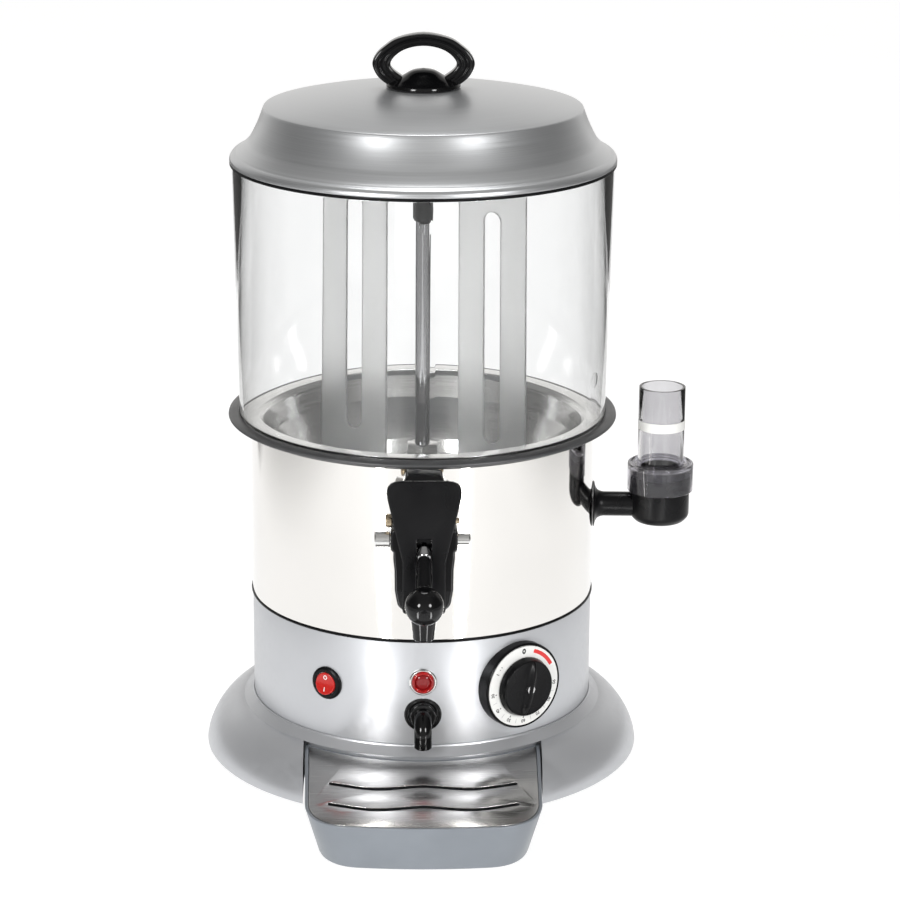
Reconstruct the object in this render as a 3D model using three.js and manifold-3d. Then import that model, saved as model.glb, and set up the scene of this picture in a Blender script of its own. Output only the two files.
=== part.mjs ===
// Hot chocolate dispenser with a heated water tank, a stirrer and a piston tap.
// Millimetres, +Z up. The front, with the tap and the drip tray, faces -Y.
import * as THREE from 'three';
import Module from 'manifold-3d';
import { mergeVertices } from 'three/addons/utils/BufferGeometryUtils.js';

const wasm = await Module();
wasm.setup();

// Fits and counts that all pieces share
const fit = 0.3;
const slideFit = 0.6;
const overrun = 2;
const bodyTurns = 32;
const mediumTurns = 18;
const smallTurns = 12;
const tinyTurns = 8;
const bendSteps = 4;
const cornerSteps = 4;

// Feet and base plate
const footHeight = 4;
const footRadius = 12;
const footRingRadius = 118;
const footStem = 5;
const footStemRadius = 4;
const footChamfer = 1;
// Turns of the feet from the front, in degrees
const footTurns = [-60, 60, 140, -140];
const basePlateThickness = 1.5;
const basePlateHeight = 3;
const ventSlotCount = 5;
const ventSlotWidth = 4;
const ventSlotLength = 46;
const ventSlotPitch = 10;
const ventSlotPlace = 88;

// Skirt: the flared foot of the machine and the collar above it
const skirtRadius = 152.1;
const skirtHeight = 33;
const skirtWall = 2.6;
const skirtSteps = 5;
const flareRiseShare = 1.6;
const flareTurnShare = 0.6;
const collarRadius = 125.6;
const collarHeight = 5.3;
const collarSeat = 8.5;

// Lower housing
const housingRadius = 118.5;
const housingHeight = 73.7;
const housingWall = 1.5;
const housingFlange = 8;
const housingLip = 1;
const housingLipHeight = 3.2;
const housingTopOpening = 98;
const louvreCount = 5;
const louvreWidth = 34;
const louvreHeight = 3;
const louvrePitch = 7;
const louvreFloor = 70;

// Water tank with its polished band
const tankRadius = 118.9;
const tankHeight = 124.4;
const tankWall = 1;
const tankFlange = 5.1;

// Gasket between the tank, the pot and the jar
const gasketLipReach = 7.7;
const gasketRadius = 127;
const gasketSkirt = 1.6;
const gasketShelf = 3;
const gasketRidge = 0.9;
const gasketLip = 4.6;
const gasketLipThickness = 2.6;
const gasketSeatPlay = 0.4;

// Pot: flange, well and centre boss
const potFlangeRadius = 122.3;
const potFlangeThickness = 1.2;
const potWall = 1.2;
const potWellRadius = 108.3;
const potCreaseRadius = 103;
const potCreaseDepth = 16;
const potLedgeRadius = 94;
const potLedgeDepth = 29.5;
const potStepRadius = 88;
const potStepDepth = 40;
const potDepth = 52;
const potEdgeDrop = 3;
const potBossRadius = 22;
const potBossRise = 24;
const potBossTopRadius = 14;
const outletRadius = 12;
const outletBore = 9.5;
const outletDrop = 39.4;
const outletEnd = 131;

// Jar
const jarTopRadius = 129.4;
const jarDraft = 3.1;
const jarWall = 3.2;
const jarHeight = 174.4;

// Lid: rim, concave flank, shoulder and dome
const lidRimOverhang = 1.6;
const lidRimHeight = 1;
const lidRimClearance = 1.3;
const lidShoulderInset = 23.4;
const lidFlankHeight = 35.4;
const lidDomeHeight = 13;
const lidWall = 1.2;
const lidDomeSteps = 3;
const lidSealWall = 1.6;
const lidSealDepth = 6;
const lidSealTop = 1.8;
const lidSealLip = 1.4;
// Across the flank from the rim inwards, and up it
const lidFlankShares = [
  [0.07, 0.06], [0.16, 0.14], [0.31, 0.21], [0.45, 0.285], [0.56, 0.36], [0.69, 0.51], [0.85, 0.735], [1, 1],
];

// Lid handle
const handleBaseRadius = 25;
const handleDomeHeight = 12;
const handleWidth = 68.6;
const handleRise = 35.7;
const handleDepth = 11;
const handleSteps = 26;
const handleScrewBoreDepth = 9;
// The dome from its rim to its peak, and the loop's edges from its foot to its top
const handleDomeShares = [[1, 0.12], [0.8, 0.3], [0.56, 0.56], [0.3, 0.87], [0, 1]];
const handleOuterShares = [
  [0.6, 0.02], [0.72, 0.05], [0.9, 0.2], [1, 0.42], [0.93, 0.6], [0.77, 0.75], [0.5, 0.91], [0, 1],
];
const handleInnerShares = [
  [0.3, 0.1], [0.37, 0.16], [0.57, 0.3], [0.647, 0.416], [0.59, 0.544], [0.43, 0.67], [0, 0.77],
];
const handleScrewRadius = 2.8;
const handleScrewHead = 5.5;
const handleScrewHeadHeight = 3;
const handleScrewLength = 10;

// Drive: centre tube, nut, shaft and coupling
const tubeRadius = 5;
const tubeBore = 3.7;
const tubeTopDrop = 34;
const shaftRadius = 3;
const tubeNutRadius = 11.8;
const tubeNutHeight = 8;
const tubeNutBevel = 2;
const couplingRadius = 6.5;
const couplingBarrel = 15.8;
const couplingDogHeight = 8.1;
const couplingRoof = 2;
const couplingDog = 9;
const tubeTail = 14;
const motorWidth = 62;
const motorDepth = 74;
const motorHeight = 30;
const motorSeat = 8;
const motorPlateThickness = 2;
const motorPlateWidth = 110;
const motorFloorGap = 6;
const motorShaftOffset = 14;
const gearCaseRadius = 24;
const gearCaseHeight = 12;
const standoffRadius = 4;

// Stirrer
const stirrerTurn = -24;
const bladeInner = 27;
const bladeOuter = 76;
const bladeThickness = 3;
const bladeFloorGap = 4;
const stirrerRise = 0.5;
const bladeSlotWidth = 12;
const bladeSlotRise = 32.3;
const bladeSlotDrop = 26;
const bladeCorner = 10;
const crossbarHeight = 8;
const stirrerHubRadius = 12;

// Tap, placed by its distance in front of the machine's axis, with its heights above and below the pin
const tapAxis = 146.5;
const tapPinGap = 12;
const tapBodyWidth = 40;
const tapBodyDrop = 48.5;
const tapBodyRise = 23.5;
const tapBodyFront = 17.5;
const tapBodyBack = 13;
const tapBore = 8.4;
const tapSeatDrop = 38.5;
const tapBossRadius = 16;
const tapHubWidth = 43.6;
const tapHubHeight = 16;
const tapHubDepth = 24;
// Half the body's width and its height, from the bottom up
const tapBodyShares = [
  [0.62, 0], [0.86, 0.06], [0.95, 0.2], [0.96, 0.4], [1, 0.5], [1, 0.86], [0.7, 1],
];
const tapCapWidth = 27;
const tapCapDepth = 20;
const tapCapHeight = 19;
const tapCapBevel = 3;
const tapCapRoof = 2.5;
const tapPlateThickness = 3.4;
const tapPlateTopWidth = 51;
const tapPlateRise = 41.5;
const tapPlateCorner = 7;
const tapPlateWaistDrop = 13.5;
const tapPlateWidth = 28;
const tapPlateDrop = 48.5;
const tapSlotWidth = 9.6;
const tapSlotRise = 8.5;
const tapSlotDrop = 26.5;
const tapPlateSlotRise = 2.5;
const pinRadius = 3.8;
const pinLength = 60;
// The pin lies this far below the middle of the outlet
const pinDrop = 4.8;
const lockPinRadius = 1.9;
const leverPinHead = 5.3;
const leverPinHeadLength = 10;
const lockPinHead = 4.4;
const lockPinHeadLength = 5;
const lockPinLength = 46;
const lockPinRise = 12.5;
const spoutTopRadius = 9.5;
const spoutRadius = 7;
const spoutBore = 4.6;
const spoutLength = 25;
const leverAngle = 39;
const leverSwing = 24;
const leverReach = 51;
const leverHubRadius = 5.8;
const leverWidth = 8;
const leverStemRadius = 3.7;
const leverFinger = 12;
const leverFingerThickness = 4;
const ballRadius = 12.5;
const ballBite = 9;
const pistonRadius = 7.4;
const pistonTipRadius = 3;
const pistonGuide = 4;
const pistonArm = 9;
const pistonRise = 27.5;
const pistonWindow = 12.5;
const sealHeight = 5;
const springRadius = 4.8;
const springWire = 1;
const springTurns = 4;
const springTurnSteps = 7;
const springSides = 4;
const washerThickness = 1.5;

// Water gauge on the right side, with its heights above and below its pipe
const gaugeClearance = 8.7;
const gaugeTurn = 88;
const gaugeTail = 10;
const gaugePipeHeight = 173.5;
const gaugePipeRadius = 8.5;
const gaugePipeBore = 5;
const gaugeFlangeRadius = 16;
const gaugeFlangeThickness = 6;
// The flange from its rim to the pipe, and along the pipe
const gaugeFlareShares = [[1, 0.1], [0.55, 0.2], [0.2, 0.5], [0.05, 0.9], [0, 1.2]];
const gaugeCupRadius = 20.5;
const gaugeCupDrop = 11.3;
const gaugeCupRise = 22;
const gaugeCupWall = 3;
const gaugeNutRadius = 22.8;
const gaugeNutRise = 30.7;
const gaugeNutSkirt = 11.7;
const gaugeLockNut = 11;
const gaugeLockNutThickness = 5;
const gaugeTubeRadius = 16;
const gaugeTubeWall = 2;
const gaugeTubeRise = 85.3;
const gaugeMarkRise = 55.3;
const gaugeMarkWidth = 7;
const gaugeMarkThickness = 0.6;

// Controls on the lower housing: turn from the front, height, sizes
const switchTurn = -33;
const switchHeight = 76.5;
const switchBezelRadius = 11.4;
const switchBezelThickness = 2;
const switchBodyRadius = 10.4;
const switchBodyDepth = 22;
const rockerRadius = 7.6;
const rockerPocket = 9;
const rockerRise = 1.6;
const rockerDish = 1;
const rockerEdge = 2;
const rockerTilt = 10;
const rockerDepth = 5;
const lampHeight = 84.6;
const lampBezelRadius = 9.4;
const lampBezelThickness = 2;
const lampLensRadius = 7.6;
const lampLensRise = 2.6;
const lampLensSeat = 1.2;
const lampDomeShare = 0.6;
const lampBodyRadius = 6;
const lampBodyDepth = 20;
const drainHeight = 60.7;
const drainDiscRadius = 13;
const drainDiscThickness = 4;
const drainSpoutRadius = 6;
const drainSpoutBore = 3.6;
const drainReach = 13;
const drainBend = 11;
const drainDrop = 18.7;
const drainNutRadius = 10;
const drainNutThickness = 5;
const drainStub = 16;
const drainSteps = 7;
const drainPipeSteps = 9;
const drainPipeInset = 30.5;
const dialTurn = 33;
const dialHeight = 76.2;
const dialBezelRadius = 30;
const dialBezelReach = 6.8;
const dialFaceRadius = 28.2;
const dialFaceThickness = 1.6;
const dialFaceBore = 7;
const dialRecess = 2.2;
const dialIndexWidth = 1.6;
const dialIndexLength = 1.4;
const knobRadius = 20.7;
const knobHeight = 5;
const knobGripHeight = 5;
const knobGripWidth = 9;
const knobTaper = 1.6;
const knobGripTurn = 12;
const spindleRadius = 3;
const knobBoreDepth = 9;
const thermostatRadius = 19;
const thermostatDepth = 14;
const wallHoleClearance = 0.7;

// Electrical and heating parts inside
const heaterRadius = 62;
const heaterTube = 4;
const heaterHeight = 18;
const heaterSpread = 300;
const heaterLegGap = 26;
const heaterLegPlace = 66;
const heaterLegTail = 8;
const heaterSteps = 14;
const heaterTubeSteps = 36;
const heaterSides = 6;
const terminalWidth = 44;
const terminalDepth = 14;
const terminalHeight = 18;
const terminalPoles = 4;
const terminalPlace = 66;
const glandRadius = 10;
const glandBore = 4;
const glandNutThickness = 6;
const glandReach = 12;
const glandHeight = 54;
const glandTurn = 180;
const glandNeck = 7;

// Drip tray and grille
const trayWidth = 160.8;
const trayFront = 236;
const trayTop = 29;
const trayFloorGap = 0.5;
const trayWall = 2.4;
const trayCorner = 34;
const trayBow = 5;
// Half widths at the end of the straight side and at the corner
const traySideShare = 0.965;
const trayCornerShare = 0.93;
const trayTaper = 9;
const trayBackRadius = 121.2;
const grilleThickness = 1.5;
const grilleRecess = 1.8;
const grilleLedge = 3;
const grilleSlotWidth = 5.2;
const grilleSlotHalfLength = 62.4;
const grilleSlotDip = 9.5;
const grilleSlotSteps = 16;
// Along half a slot's length, and down its dip
const grilleSlotLineShares = [
  [-1, 0], [-0.53, 1], [-0.12, 0.62], [0, 0.5], [0.12, 0.62], [0.53, 1], [1, 0],
];
const grilleSlotPlaces = [161, 195];

// Levels that follow from the sizes above
const housingBottom = skirtHeight + collarHeight + fit;
const housingTop = housingBottom + housingHeight;
const tankBottom = housingTop + fit;
const tankTop = tankBottom + tankHeight;
const gasketBottom = tankTop + fit;
const gasketShelfTop = gasketBottom + gasketShelf;
const gasketRidgeTop = gasketShelfTop + gasketRidge;
const jarBottom = gasketShelfTop + fit;
const jarTop = jarBottom + jarHeight;
const potTop = gasketRidgeTop + fit + potFlangeThickness;
const tubeTop = jarTop - tubeTopDrop;
const couplingBottom = tubeTop + slideFit;
const couplingShoulder = couplingBottom + couplingBarrel;
const couplingTop = couplingShoulder + couplingDogHeight;
const stirrerTop = couplingTop + stirrerRise;
const jarBottomRadius = jarTopRadius - jarDraft;
const gasketSeat = jarBottomRadius + gasketSeatPlay;
const gasketLipRadius = jarBottomRadius + gasketLipReach;
const drainPipePlace = drainPipeInset - housingRadius;
const lidRimRadius = jarTopRadius + lidRimOverhang;
const lidShoulderRadius = lidRimRadius - lidShoulderInset;
const lidBottom = jarTop + fit + lidRimClearance;
const trayBottom = trayFloorGap - footHeight;
const potFloor = potTop - potDepth;
const potBossTop = potFloor + potBossRise;
const outletHeight = potTop - outletDrop;
const bladeBottom = potFloor + bladeFloorGap;
const bladeSlotBottom = bladeBottom + bladeSlotRise;
const bladeSlotTop = stirrerTop - bladeSlotDrop;
const pinHeight = outletHeight - pinDrop;
const lockPinHeight = pinHeight + lockPinRise;
const tapBodyBottom = pinHeight - tapBodyDrop;
const tapBodyTop = pinHeight + tapBodyRise;
const tapSeat = pinHeight - tapSeatDrop;
const tapSlotFloor = pinHeight - tapSlotDrop;
const tapSlotTop = pinHeight + tapSlotRise;
const tapPlateBottom = pinHeight - tapPlateDrop;
const tapPlateWaist = pinHeight - tapPlateWaistDrop;
const tapPlateSlotTop = pinHeight + tapPlateSlotRise;
const tapPlateTop = pinHeight + tapPlateRise;
const pistonTop = pinHeight + pistonRise;
const gaugeReach = gasketLipRadius + gaugeClearance + gaugeNutRadius;
const gaugeCupBottom = gaugePipeHeight - gaugeCupDrop;
const gaugeCupTop = gaugePipeHeight + gaugeCupRise;
const gaugeNutTop = gaugePipeHeight + gaugeNutRise;
const gaugeTubeTop = gaugePipeHeight + gaugeTubeRise;
const gaugeMarkHeight = gaugePipeHeight + gaugeMarkRise;
const degree = Math.PI / 180;
// How near the flats of a faceted round wall come to its axis
const flatShare = Math.cos(Math.PI / bodyTurns);
const housingInside = (housingRadius - housingWall) * flatShare;
const tankInside = (tankRadius - tankWall) * flatShare;

// Materials: one for each finish, copied for each mesh
const finishes = {
  paint: { color: 0xb9bcc0, roughness: 0.42, metalness: 0.6 },
  polished: { color: 0xe4e2de, roughness: 0.08, metalness: 1 },
  steel: { color: 0xb4b5b6, roughness: 0.3, metalness: 1 },
  satin: { color: 0xa9abae, roughness: 0.4, metalness: 0.8 },
  black: { color: 0x101011, roughness: 0.25, metalness: 0 },
  rubber: { color: 0x3c3d3f, roughness: 0.6, metalness: 0 },
  clear: { color: 0xe8eef0, roughness: 0.05, metalness: 0, transparent: true, opacity: 0.3 },
  smoke: { color: 0x8f9496, roughness: 0.2, metalness: 0, transparent: true, opacity: 0.6 },
  frosted: { color: 0xdfe3e4, roughness: 0.5, metalness: 0, transparent: true, opacity: 0.8 },
  white: { color: 0xf2f2ee, roughness: 0.45, metalness: 0 },
  red: { color: 0xc3161b, roughness: 0.25, metalness: 0 },
  brass: { color: 0xb08d57, roughness: 0.3, metalness: 1 },
  zinc: { color: 0x9a9c9e, roughness: 0.45, metalness: 1 },
  grey: { color: 0xc6cad0, roughness: 0.4, metalness: 0.2 },
};

// Solids and booleans

function toSolid(geometry) {
  const bare = geometry.clone();
  bare.deleteAttribute('normal');
  bare.deleteAttribute('uv');
  const merged = mergeVertices(bare);
  const place = merged.attributes.position;
  const corners = [0, 1, 2].map(() => new THREE.Vector3());
  const triangles = [];
  let volume = 0;
  for (let i = 0; i < merged.index.count; i += 3) {
    const ids = [merged.index.getX(i), merged.index.getX(i + 1), merged.index.getX(i + 2)];
    if (new Set(ids).size < 3) continue;
    ids.forEach((id, n) => corners[n].fromBufferAttribute(place, id));
    volume += corners[0].dot(corners[1].clone().cross(corners[2]));
    triangles.push(ids);
  }
  const ordered = volume < 0 ? triangles.map(([a, b, c]) => [a, c, b]) : triangles;
  const vertProperties = new Float32Array(place.array);
  return new wasm.Manifold(new wasm.Mesh({
    numProp: 3,
    vertProperties,
    triVerts: new Uint32Array(ordered.flat()),
  }));
}

function toGeometry(solid) {
  const mesh = solid.getMesh();
  const geometry = new THREE.BufferGeometry();
  geometry.setAttribute('position', new THREE.BufferAttribute(mesh.vertProperties, 3));
  geometry.setIndex(new THREE.BufferAttribute(mesh.triVerts, 1));
  return geometry;
}

const join = (...shapes) => toGeometry(shapes.map(toSolid).reduce((sum, next) => sum.add(next)));
const cut = (...shapes) => toGeometry(shapes.map(toSolid).reduce((rest, next) => rest.subtract(next)));
const common = (...shapes) => toGeometry(shapes.map(toSolid).reduce((rest, next) => rest.intersect(next)));

// Basic shapes: each stands on z = 0 and is centred on the Z axis

function revolve(profile, turns = bodyTurns) {
  const points = profile.map(([radius, height]) => new THREE.Vector2(radius, height));
  if (profile[0][0] > 0) points.push(points[0].clone());
  return new THREE.LatheGeometry(points, turns).rotateX(Math.PI / 2);
}

function rod(radius, length, turns = smallTurns, topRadius = radius) {
  const geometry = new THREE.CylinderGeometry(topRadius, radius, length, turns);
  return geometry.rotateX(Math.PI / 2).translate(0, 0, length / 2);
}

function pipe(outer, inner, length, turns = smallTurns) {
  return revolve([[inner, 0], [outer, 0], [outer, length], [inner, length]], turns);
}

function block(width, depth, height) {
  return new THREE.BoxGeometry(width, depth, height).translate(0, 0, height / 2);
}

function extrude(shape, depth, curveSegments = 6) {
  return new THREE.ExtrudeGeometry(shape, { depth, bevelEnabled: false, curveSegments });
}

function outline(points) {
  return new THREE.Shape(points.map(([x, y]) => new THREE.Vector2(x, y)));
}

// A rectangle with round corners, centred on the origin
function roundedOutline(width, height, radius) {
  const shape = new THREE.Shape();
  const x = width / 2;
  const y = height / 2;
  shape.moveTo(radius - x, -y);
  shape.lineTo(x - radius, -y);
  shape.absarc(x - radius, radius - y, radius, -Math.PI / 2, 0, false);
  shape.absarc(x - radius, y - radius, radius, 0, Math.PI / 2, false);
  shape.absarc(radius - x, y - radius, radius, Math.PI / 2, Math.PI, false);
  shape.absarc(radius - x, radius - y, radius, Math.PI, 1.5 * Math.PI, false);
  return shape;
}

// A slot with round ends, its length along Y
function slotOutline(width, length) {
  const radius = width / 2;
  const reach = length / 2 - radius;
  const shape = new THREE.Shape();
  shape.absarc(0, reach, radius, 0, Math.PI, false);
  shape.absarc(0, -reach, radius, Math.PI, 2 * Math.PI, false);
  return shape;
}

// Turns a shape that rises along Z so that it points out of the front wall
const outward = (geometry) => geometry.rotateX(Math.PI / 2);
// Turns a shape that rises along Z so that it lies along X
const sideways = (geometry) => geometry.rotateY(Math.PI / 2);

function polar(radius, angle) {
  return [radius * Math.cos(angle), radius * Math.sin(angle)];
}

// The hole for a faceted round piece that turns in it
function turningHole(radius, turns) {
  return (radius + fit) / Math.cos(Math.PI / turns);
}

function evenSteps(count) {
  return Array.from({ length: count + 1 }, (_, i) => i / count);
}

// The tree of groups and meshes

const machine = new THREE.Group();
const body = new THREE.Group();
machine.add(body);

function addMesh(parent, name, geometry, finish) {
  const mesh = new THREE.Mesh(geometry, new THREE.MeshStandardMaterial(finishes[finish]));
  mesh.name = name;
  parent.add(mesh);
  return mesh;
}

function groupAt(parent, x, y, z, turn = 0) {
  const group = new THREE.Group();
  group.position.set(x, y, z);
  group.rotation.z = turn * degree;
  parent.add(group);
  return group;
}

// Base: skirt with its tray bay, base plate and feet

const bayHalfWidth = trayWidth / 2 + slideFit;
const bayWallRadius = trayBackRadius - slideFit;
const bayBack = Math.sqrt(bayWallRadius ** 2 - bayHalfWidth ** 2);

function bayCutter(bottom, top) {
  const depth = skirtRadius + overrun - bayBack;
  return block(2 * bayHalfWidth, depth, top - bottom).translate(0, -bayBack - depth / 2, bottom);
}

function flareLine(inset, height) {
  return evenSteps(skirtSteps).map((step) => {
    const rise = 1 - (1 - step) ** 2;
    const turn = 1 - (1 - rise ** flareRiseShare) ** flareTurnShare;
    return [skirtRadius - inset - (skirtRadius - collarRadius) * turn, height * rise];
  });
}

function skirt() {
  const seat = skirtHeight + collarHeight;
  const seatInner = housingRadius - collarSeat;
  const inside = flareLine(skirtWall, skirtHeight - skirtWall).reverse();
  const profile = [
    ...flareLine(0, skirtHeight),
    [housingRadius, seat], [seatInner, seat], [seatInner, seat - skirtWall],
    ...inside,
  ];
  // The wall that closes the bay's back under the collar
  const wallBottom = basePlateHeight + basePlateThickness + fit;
  const wall = pipe(bayWallRadius, bayWallRadius - skirtWall, seat - skirtWall / 2 - wallBottom, bodyTurns);
  const bayWall = common(wall.translate(0, 0, wallBottom), bayCutter(0, seat));
  return join(cut(revolve(profile), bayCutter(-overrun, skirtHeight)), bayWall);
}

function footPlace(turn) {
  return polar(footRingRadius, (turn - 90) * degree);
}

// The radius at which a line of points passes a height
function radiusAt(line, height) {
  const next = line.findIndex(([, z]) => z > height);
  const [lowRadius, low] = line[next - 1];
  const [highRadius, high] = line[next];
  return lowRadius + (highRadius - lowRadius) * (height - low) / (high - low);
}

function basePlate() {
  const inside = flareLine(skirtWall, skirtHeight - skirtWall);
  const radius = radiusAt(inside, basePlateHeight + basePlateThickness) - fit;
  const deep = basePlateThickness + 2 * overrun;
  const holes = footTurns.map((turn) => {
    const [x, y] = footPlace(turn);
    return rod(footStemRadius + fit, deep, tinyTurns).translate(x, y, -overrun);
  });
  const slots = evenSteps(ventSlotCount - 1).map((step) => {
    const x = (step - 1 / 2) * (ventSlotCount - 1) * ventSlotPitch;
    const slot = extrude(slotOutline(ventSlotWidth, ventSlotLength), deep, cornerSteps);
    return slot.translate(x, ventSlotPlace, -overrun);
  });
  const plate = rod(radius, basePlateThickness, bodyTurns);
  const bay = cut(bayCutter(-overrun, deep), rod(bayWallRadius, deep, bodyTurns).translate(0, 0, -overrun));
  return cut(plate, bay, ...holes, ...slots);
}

function foot() {
  const under = basePlateHeight - fit;
  return revolve([
    [0, -footHeight], [footRadius - footChamfer, -footHeight], [footRadius, footChamfer - footHeight],
    [footRadius, under], [footStemRadius, under],
    [footStemRadius, under + footStem], [0, under + footStem],
  ], tinyTurns);
}

addMesh(body, 'base_skirt', skirt(), 'paint');
addMesh(body, 'base_plate', basePlate(), 'zinc').position.z = basePlateHeight;
['foot_front_left', 'foot_front_right', 'foot_rear_right', 'foot_rear_left'].forEach((name, n) => {
  const [x, y] = footPlace(footTurns[n]);
  addMesh(body, name, foot(), 'rubber').position.set(x, y, 0);
});

// Lower housing, with the holes for what is mounted in it

// A hole through the front wall, turned to its place
function wallHole(radius, height, turn, wallRadius = housingRadius, turns = smallTurns) {
  const drill = outward(rod(radius, wallRadius / 2, turns));
  return drill.translate(0, -wallRadius + wallRadius / 4, height).rotateZ(turn * degree);
}

function housing() {
  const top = housingTop;
  const inner = housingRadius - housingWall;
  const lip = housingRadius + housingLip;
  const profile = [
    [housingRadius, housingBottom], [housingRadius, top - housingLipHeight],
    [lip, top - housingLipHeight + housingLip], [lip, top],
    [housingTopOpening, top], [housingTopOpening, top - housingWall], [inner, top - housingWall],
    [inner, housingBottom + housingWall], [housingRadius - housingFlange, housingBottom + housingWall],
    [housingRadius - housingFlange, housingBottom],
  ];
  const louvres = evenSteps(louvreCount - 1).map((step) => {
    const z = louvreFloor + step * (louvreCount - 1) * louvrePitch;
    return block(louvreWidth, housingRadius / 2, louvreHeight).translate(0, housingRadius, z);
  });
  return cut(
    revolve(profile),
    wallHole(switchBodyRadius + fit, switchHeight, switchTurn),
    wallHole(lampBodyRadius + fit, lampHeight, 0),
    wallHole(drainSpoutRadius + fit, drainHeight, 0),
    wallHole(spindleRadius + wallHoleClearance, dialHeight, dialTurn),
    wallHole(glandNeck + fit, glandHeight, glandTurn),
    ...louvres,
  );
}

addMesh(body, 'lower_housing', housing(), 'paint');

// Water tank: polished band, bottom, top flange and the holes for its fittings

function tank() {
  const inner = tankRadius - tankWall;
  const flange = tankRadius + tankFlange;
  const profile = [
    [tubeRadius + fit, tankBottom], [tankRadius, tankBottom], [tankRadius, tankTop - tankWall],
    [flange, tankTop - tankWall], [flange, tankTop], [inner, tankTop],
    [inner, tankBottom + tankWall], [tubeRadius + fit, tankBottom + tankWall],
  ];
  const floorHole = (radius, x, y) => (
    rod(radius, tankHeight / 2).translate(x, y, tankBottom - tankHeight / 4)
  );
  return cut(
    revolve(profile),
    wallHole(outletRadius + fit, outletHeight, 0, tankRadius),
    wallHole(gaugePipeRadius + fit, gaugePipeHeight, gaugeTurn, tankRadius),
    floorHole(drainSpoutRadius + fit, 0, drainPipePlace),
    floorHole(heaterTube + fit, -heaterLegGap / 2, heaterLegPlace),
    floorHole(heaterTube + fit, heaterLegGap / 2, heaterLegPlace),
  );
}

addMesh(body, 'water_tank', tank(), 'polished');

// Gasket: clamps the tank's flange, carries the pot's flange and seats the jar

function gasket() {
  const flange = tankRadius + tankFlange;
  return revolve([
    [tankRadius, gasketBottom], [flange + fit, gasketBottom], [flange + fit, gasketBottom - gasketSkirt],
    [gasketRadius, gasketBottom - gasketSkirt], [gasketRadius, gasketBottom],
    [gasketLipRadius, gasketBottom + fit], [gasketLipRadius, gasketBottom + gasketLip - fit],
    [gasketLipRadius - gasketLipThickness, gasketBottom + gasketLip],
    [gasketSeat, gasketBottom + gasketLip],
    [gasketSeat, gasketShelfTop], [potFlangeRadius, gasketShelfTop],
    [potFlangeRadius, gasketRidgeTop], [tankRadius, gasketRidgeTop],
  ]);
}

addMesh(body, 'jar_gasket', gasket(), 'rubber');

// Pot: flange, stepped well, centre boss and the outlet pipe to the tap

const potLine = [
  [potFlangeRadius, potTop],
  [potWellRadius + potEdgeDrop, potTop],
  [potWellRadius, potTop - potEdgeDrop],
  [potCreaseRadius, potTop - potCreaseDepth],
  [potLedgeRadius, potTop - potLedgeDepth],
  [potStepRadius, potTop - potStepDepth],
  [potStepRadius - potEdgeDrop, potFloor],
];

function pot() {
  const inner = potLine.filter(([radius]) => radius < potFlangeRadius && radius !== potCreaseRadius);
  const under = inner.map(([radius, height]) => [radius + potWall, height - potWall]).reverse();
  const bore = tubeRadius + fit;
  const profile = [
    ...potLine,
    [potBossRadius, potFloor], [potBossTopRadius, potBossTop], [bore, potBossTop],
    [bore, potBossTop - potWall], [potBossTopRadius - potWall, potBossTop - potWall],
    [potBossRadius - potWall, potFloor - potWall],
    ...under,
    [potFlangeRadius, potTop - potWall],
  ];
  const well = revolve([
    [0, potTop + overrun], [potWellRadius + potEdgeDrop, potTop + overrun],
    ...potLine.slice(1), [potBossRadius, potFloor], [potBossTopRadius, potBossTop], [0, potBossTop],
  ]);
  const outletLength = outletEnd - potStepRadius + potEdgeDrop;
  const outlet = outward(rod(outletRadius, outletLength));
  outlet.translate(0, outletLength - outletEnd, outletHeight);
  const passage = outward(rod(outletBore, outletEnd)).translate(0, -potStepRadius / 2, outletHeight);
  const shell = cut(revolve(profile), passage.clone());
  return join(shell, cut(outlet, well, passage));
}

addMesh(body, 'pot', pot(), 'steel');

// Jar: a clear drafted tube that stands in the gasket

const jarGroup = groupAt(body, 0, 0, jarBottom);

function jar() {
  return revolve([
    [jarBottomRadius - jarWall, 0], [jarBottomRadius, 0], [jarTopRadius, jarHeight],
    [jarTopRadius - jarWall, jarHeight],
  ]);
}

addMesh(jarGroup, 'jar', jar(), 'clear');

// Lid, its seal and its handle

const lidGroup = groupAt(body, 0, 0, lidBottom);
const lidSpan = lidRimRadius - lidShoulderRadius;
const lidShoulderRise = lidRimHeight + lidFlankHeight;

function lidOuterLine(inset, shares) {
  const flank = shares.map(([across, up]) => [
    lidRimRadius - inset - lidSpan * across,
    lidRimHeight + lidFlankHeight * up,
  ]);
  return [[lidRimRadius - inset, 0], [lidRimRadius - inset, lidRimHeight], ...flank];
}

function lidDomeLine(inset, innerRadius) {
  return evenSteps(lidDomeSteps).slice(1).map((step) => {
    const radius = lidShoulderRadius + (innerRadius - lidShoulderRadius) * step;
    const height = lidShoulderRise + lidDomeHeight * (1 - (radius / lidShoulderRadius) ** 2);
    return [radius, height - inset];
  });
}

function lid() {
  const bore = handleScrewRadius + fit;
  return revolve([
    ...lidOuterLine(0, lidFlankShares),
    ...lidDomeLine(0, bore),
    ...lidDomeLine(lidWall, bore).reverse(),
    ...lidOuterLine(lidWall, lidFlankShares.filter((_, n) => n % 2 === 1)).reverse(),
  ]);
}

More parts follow.
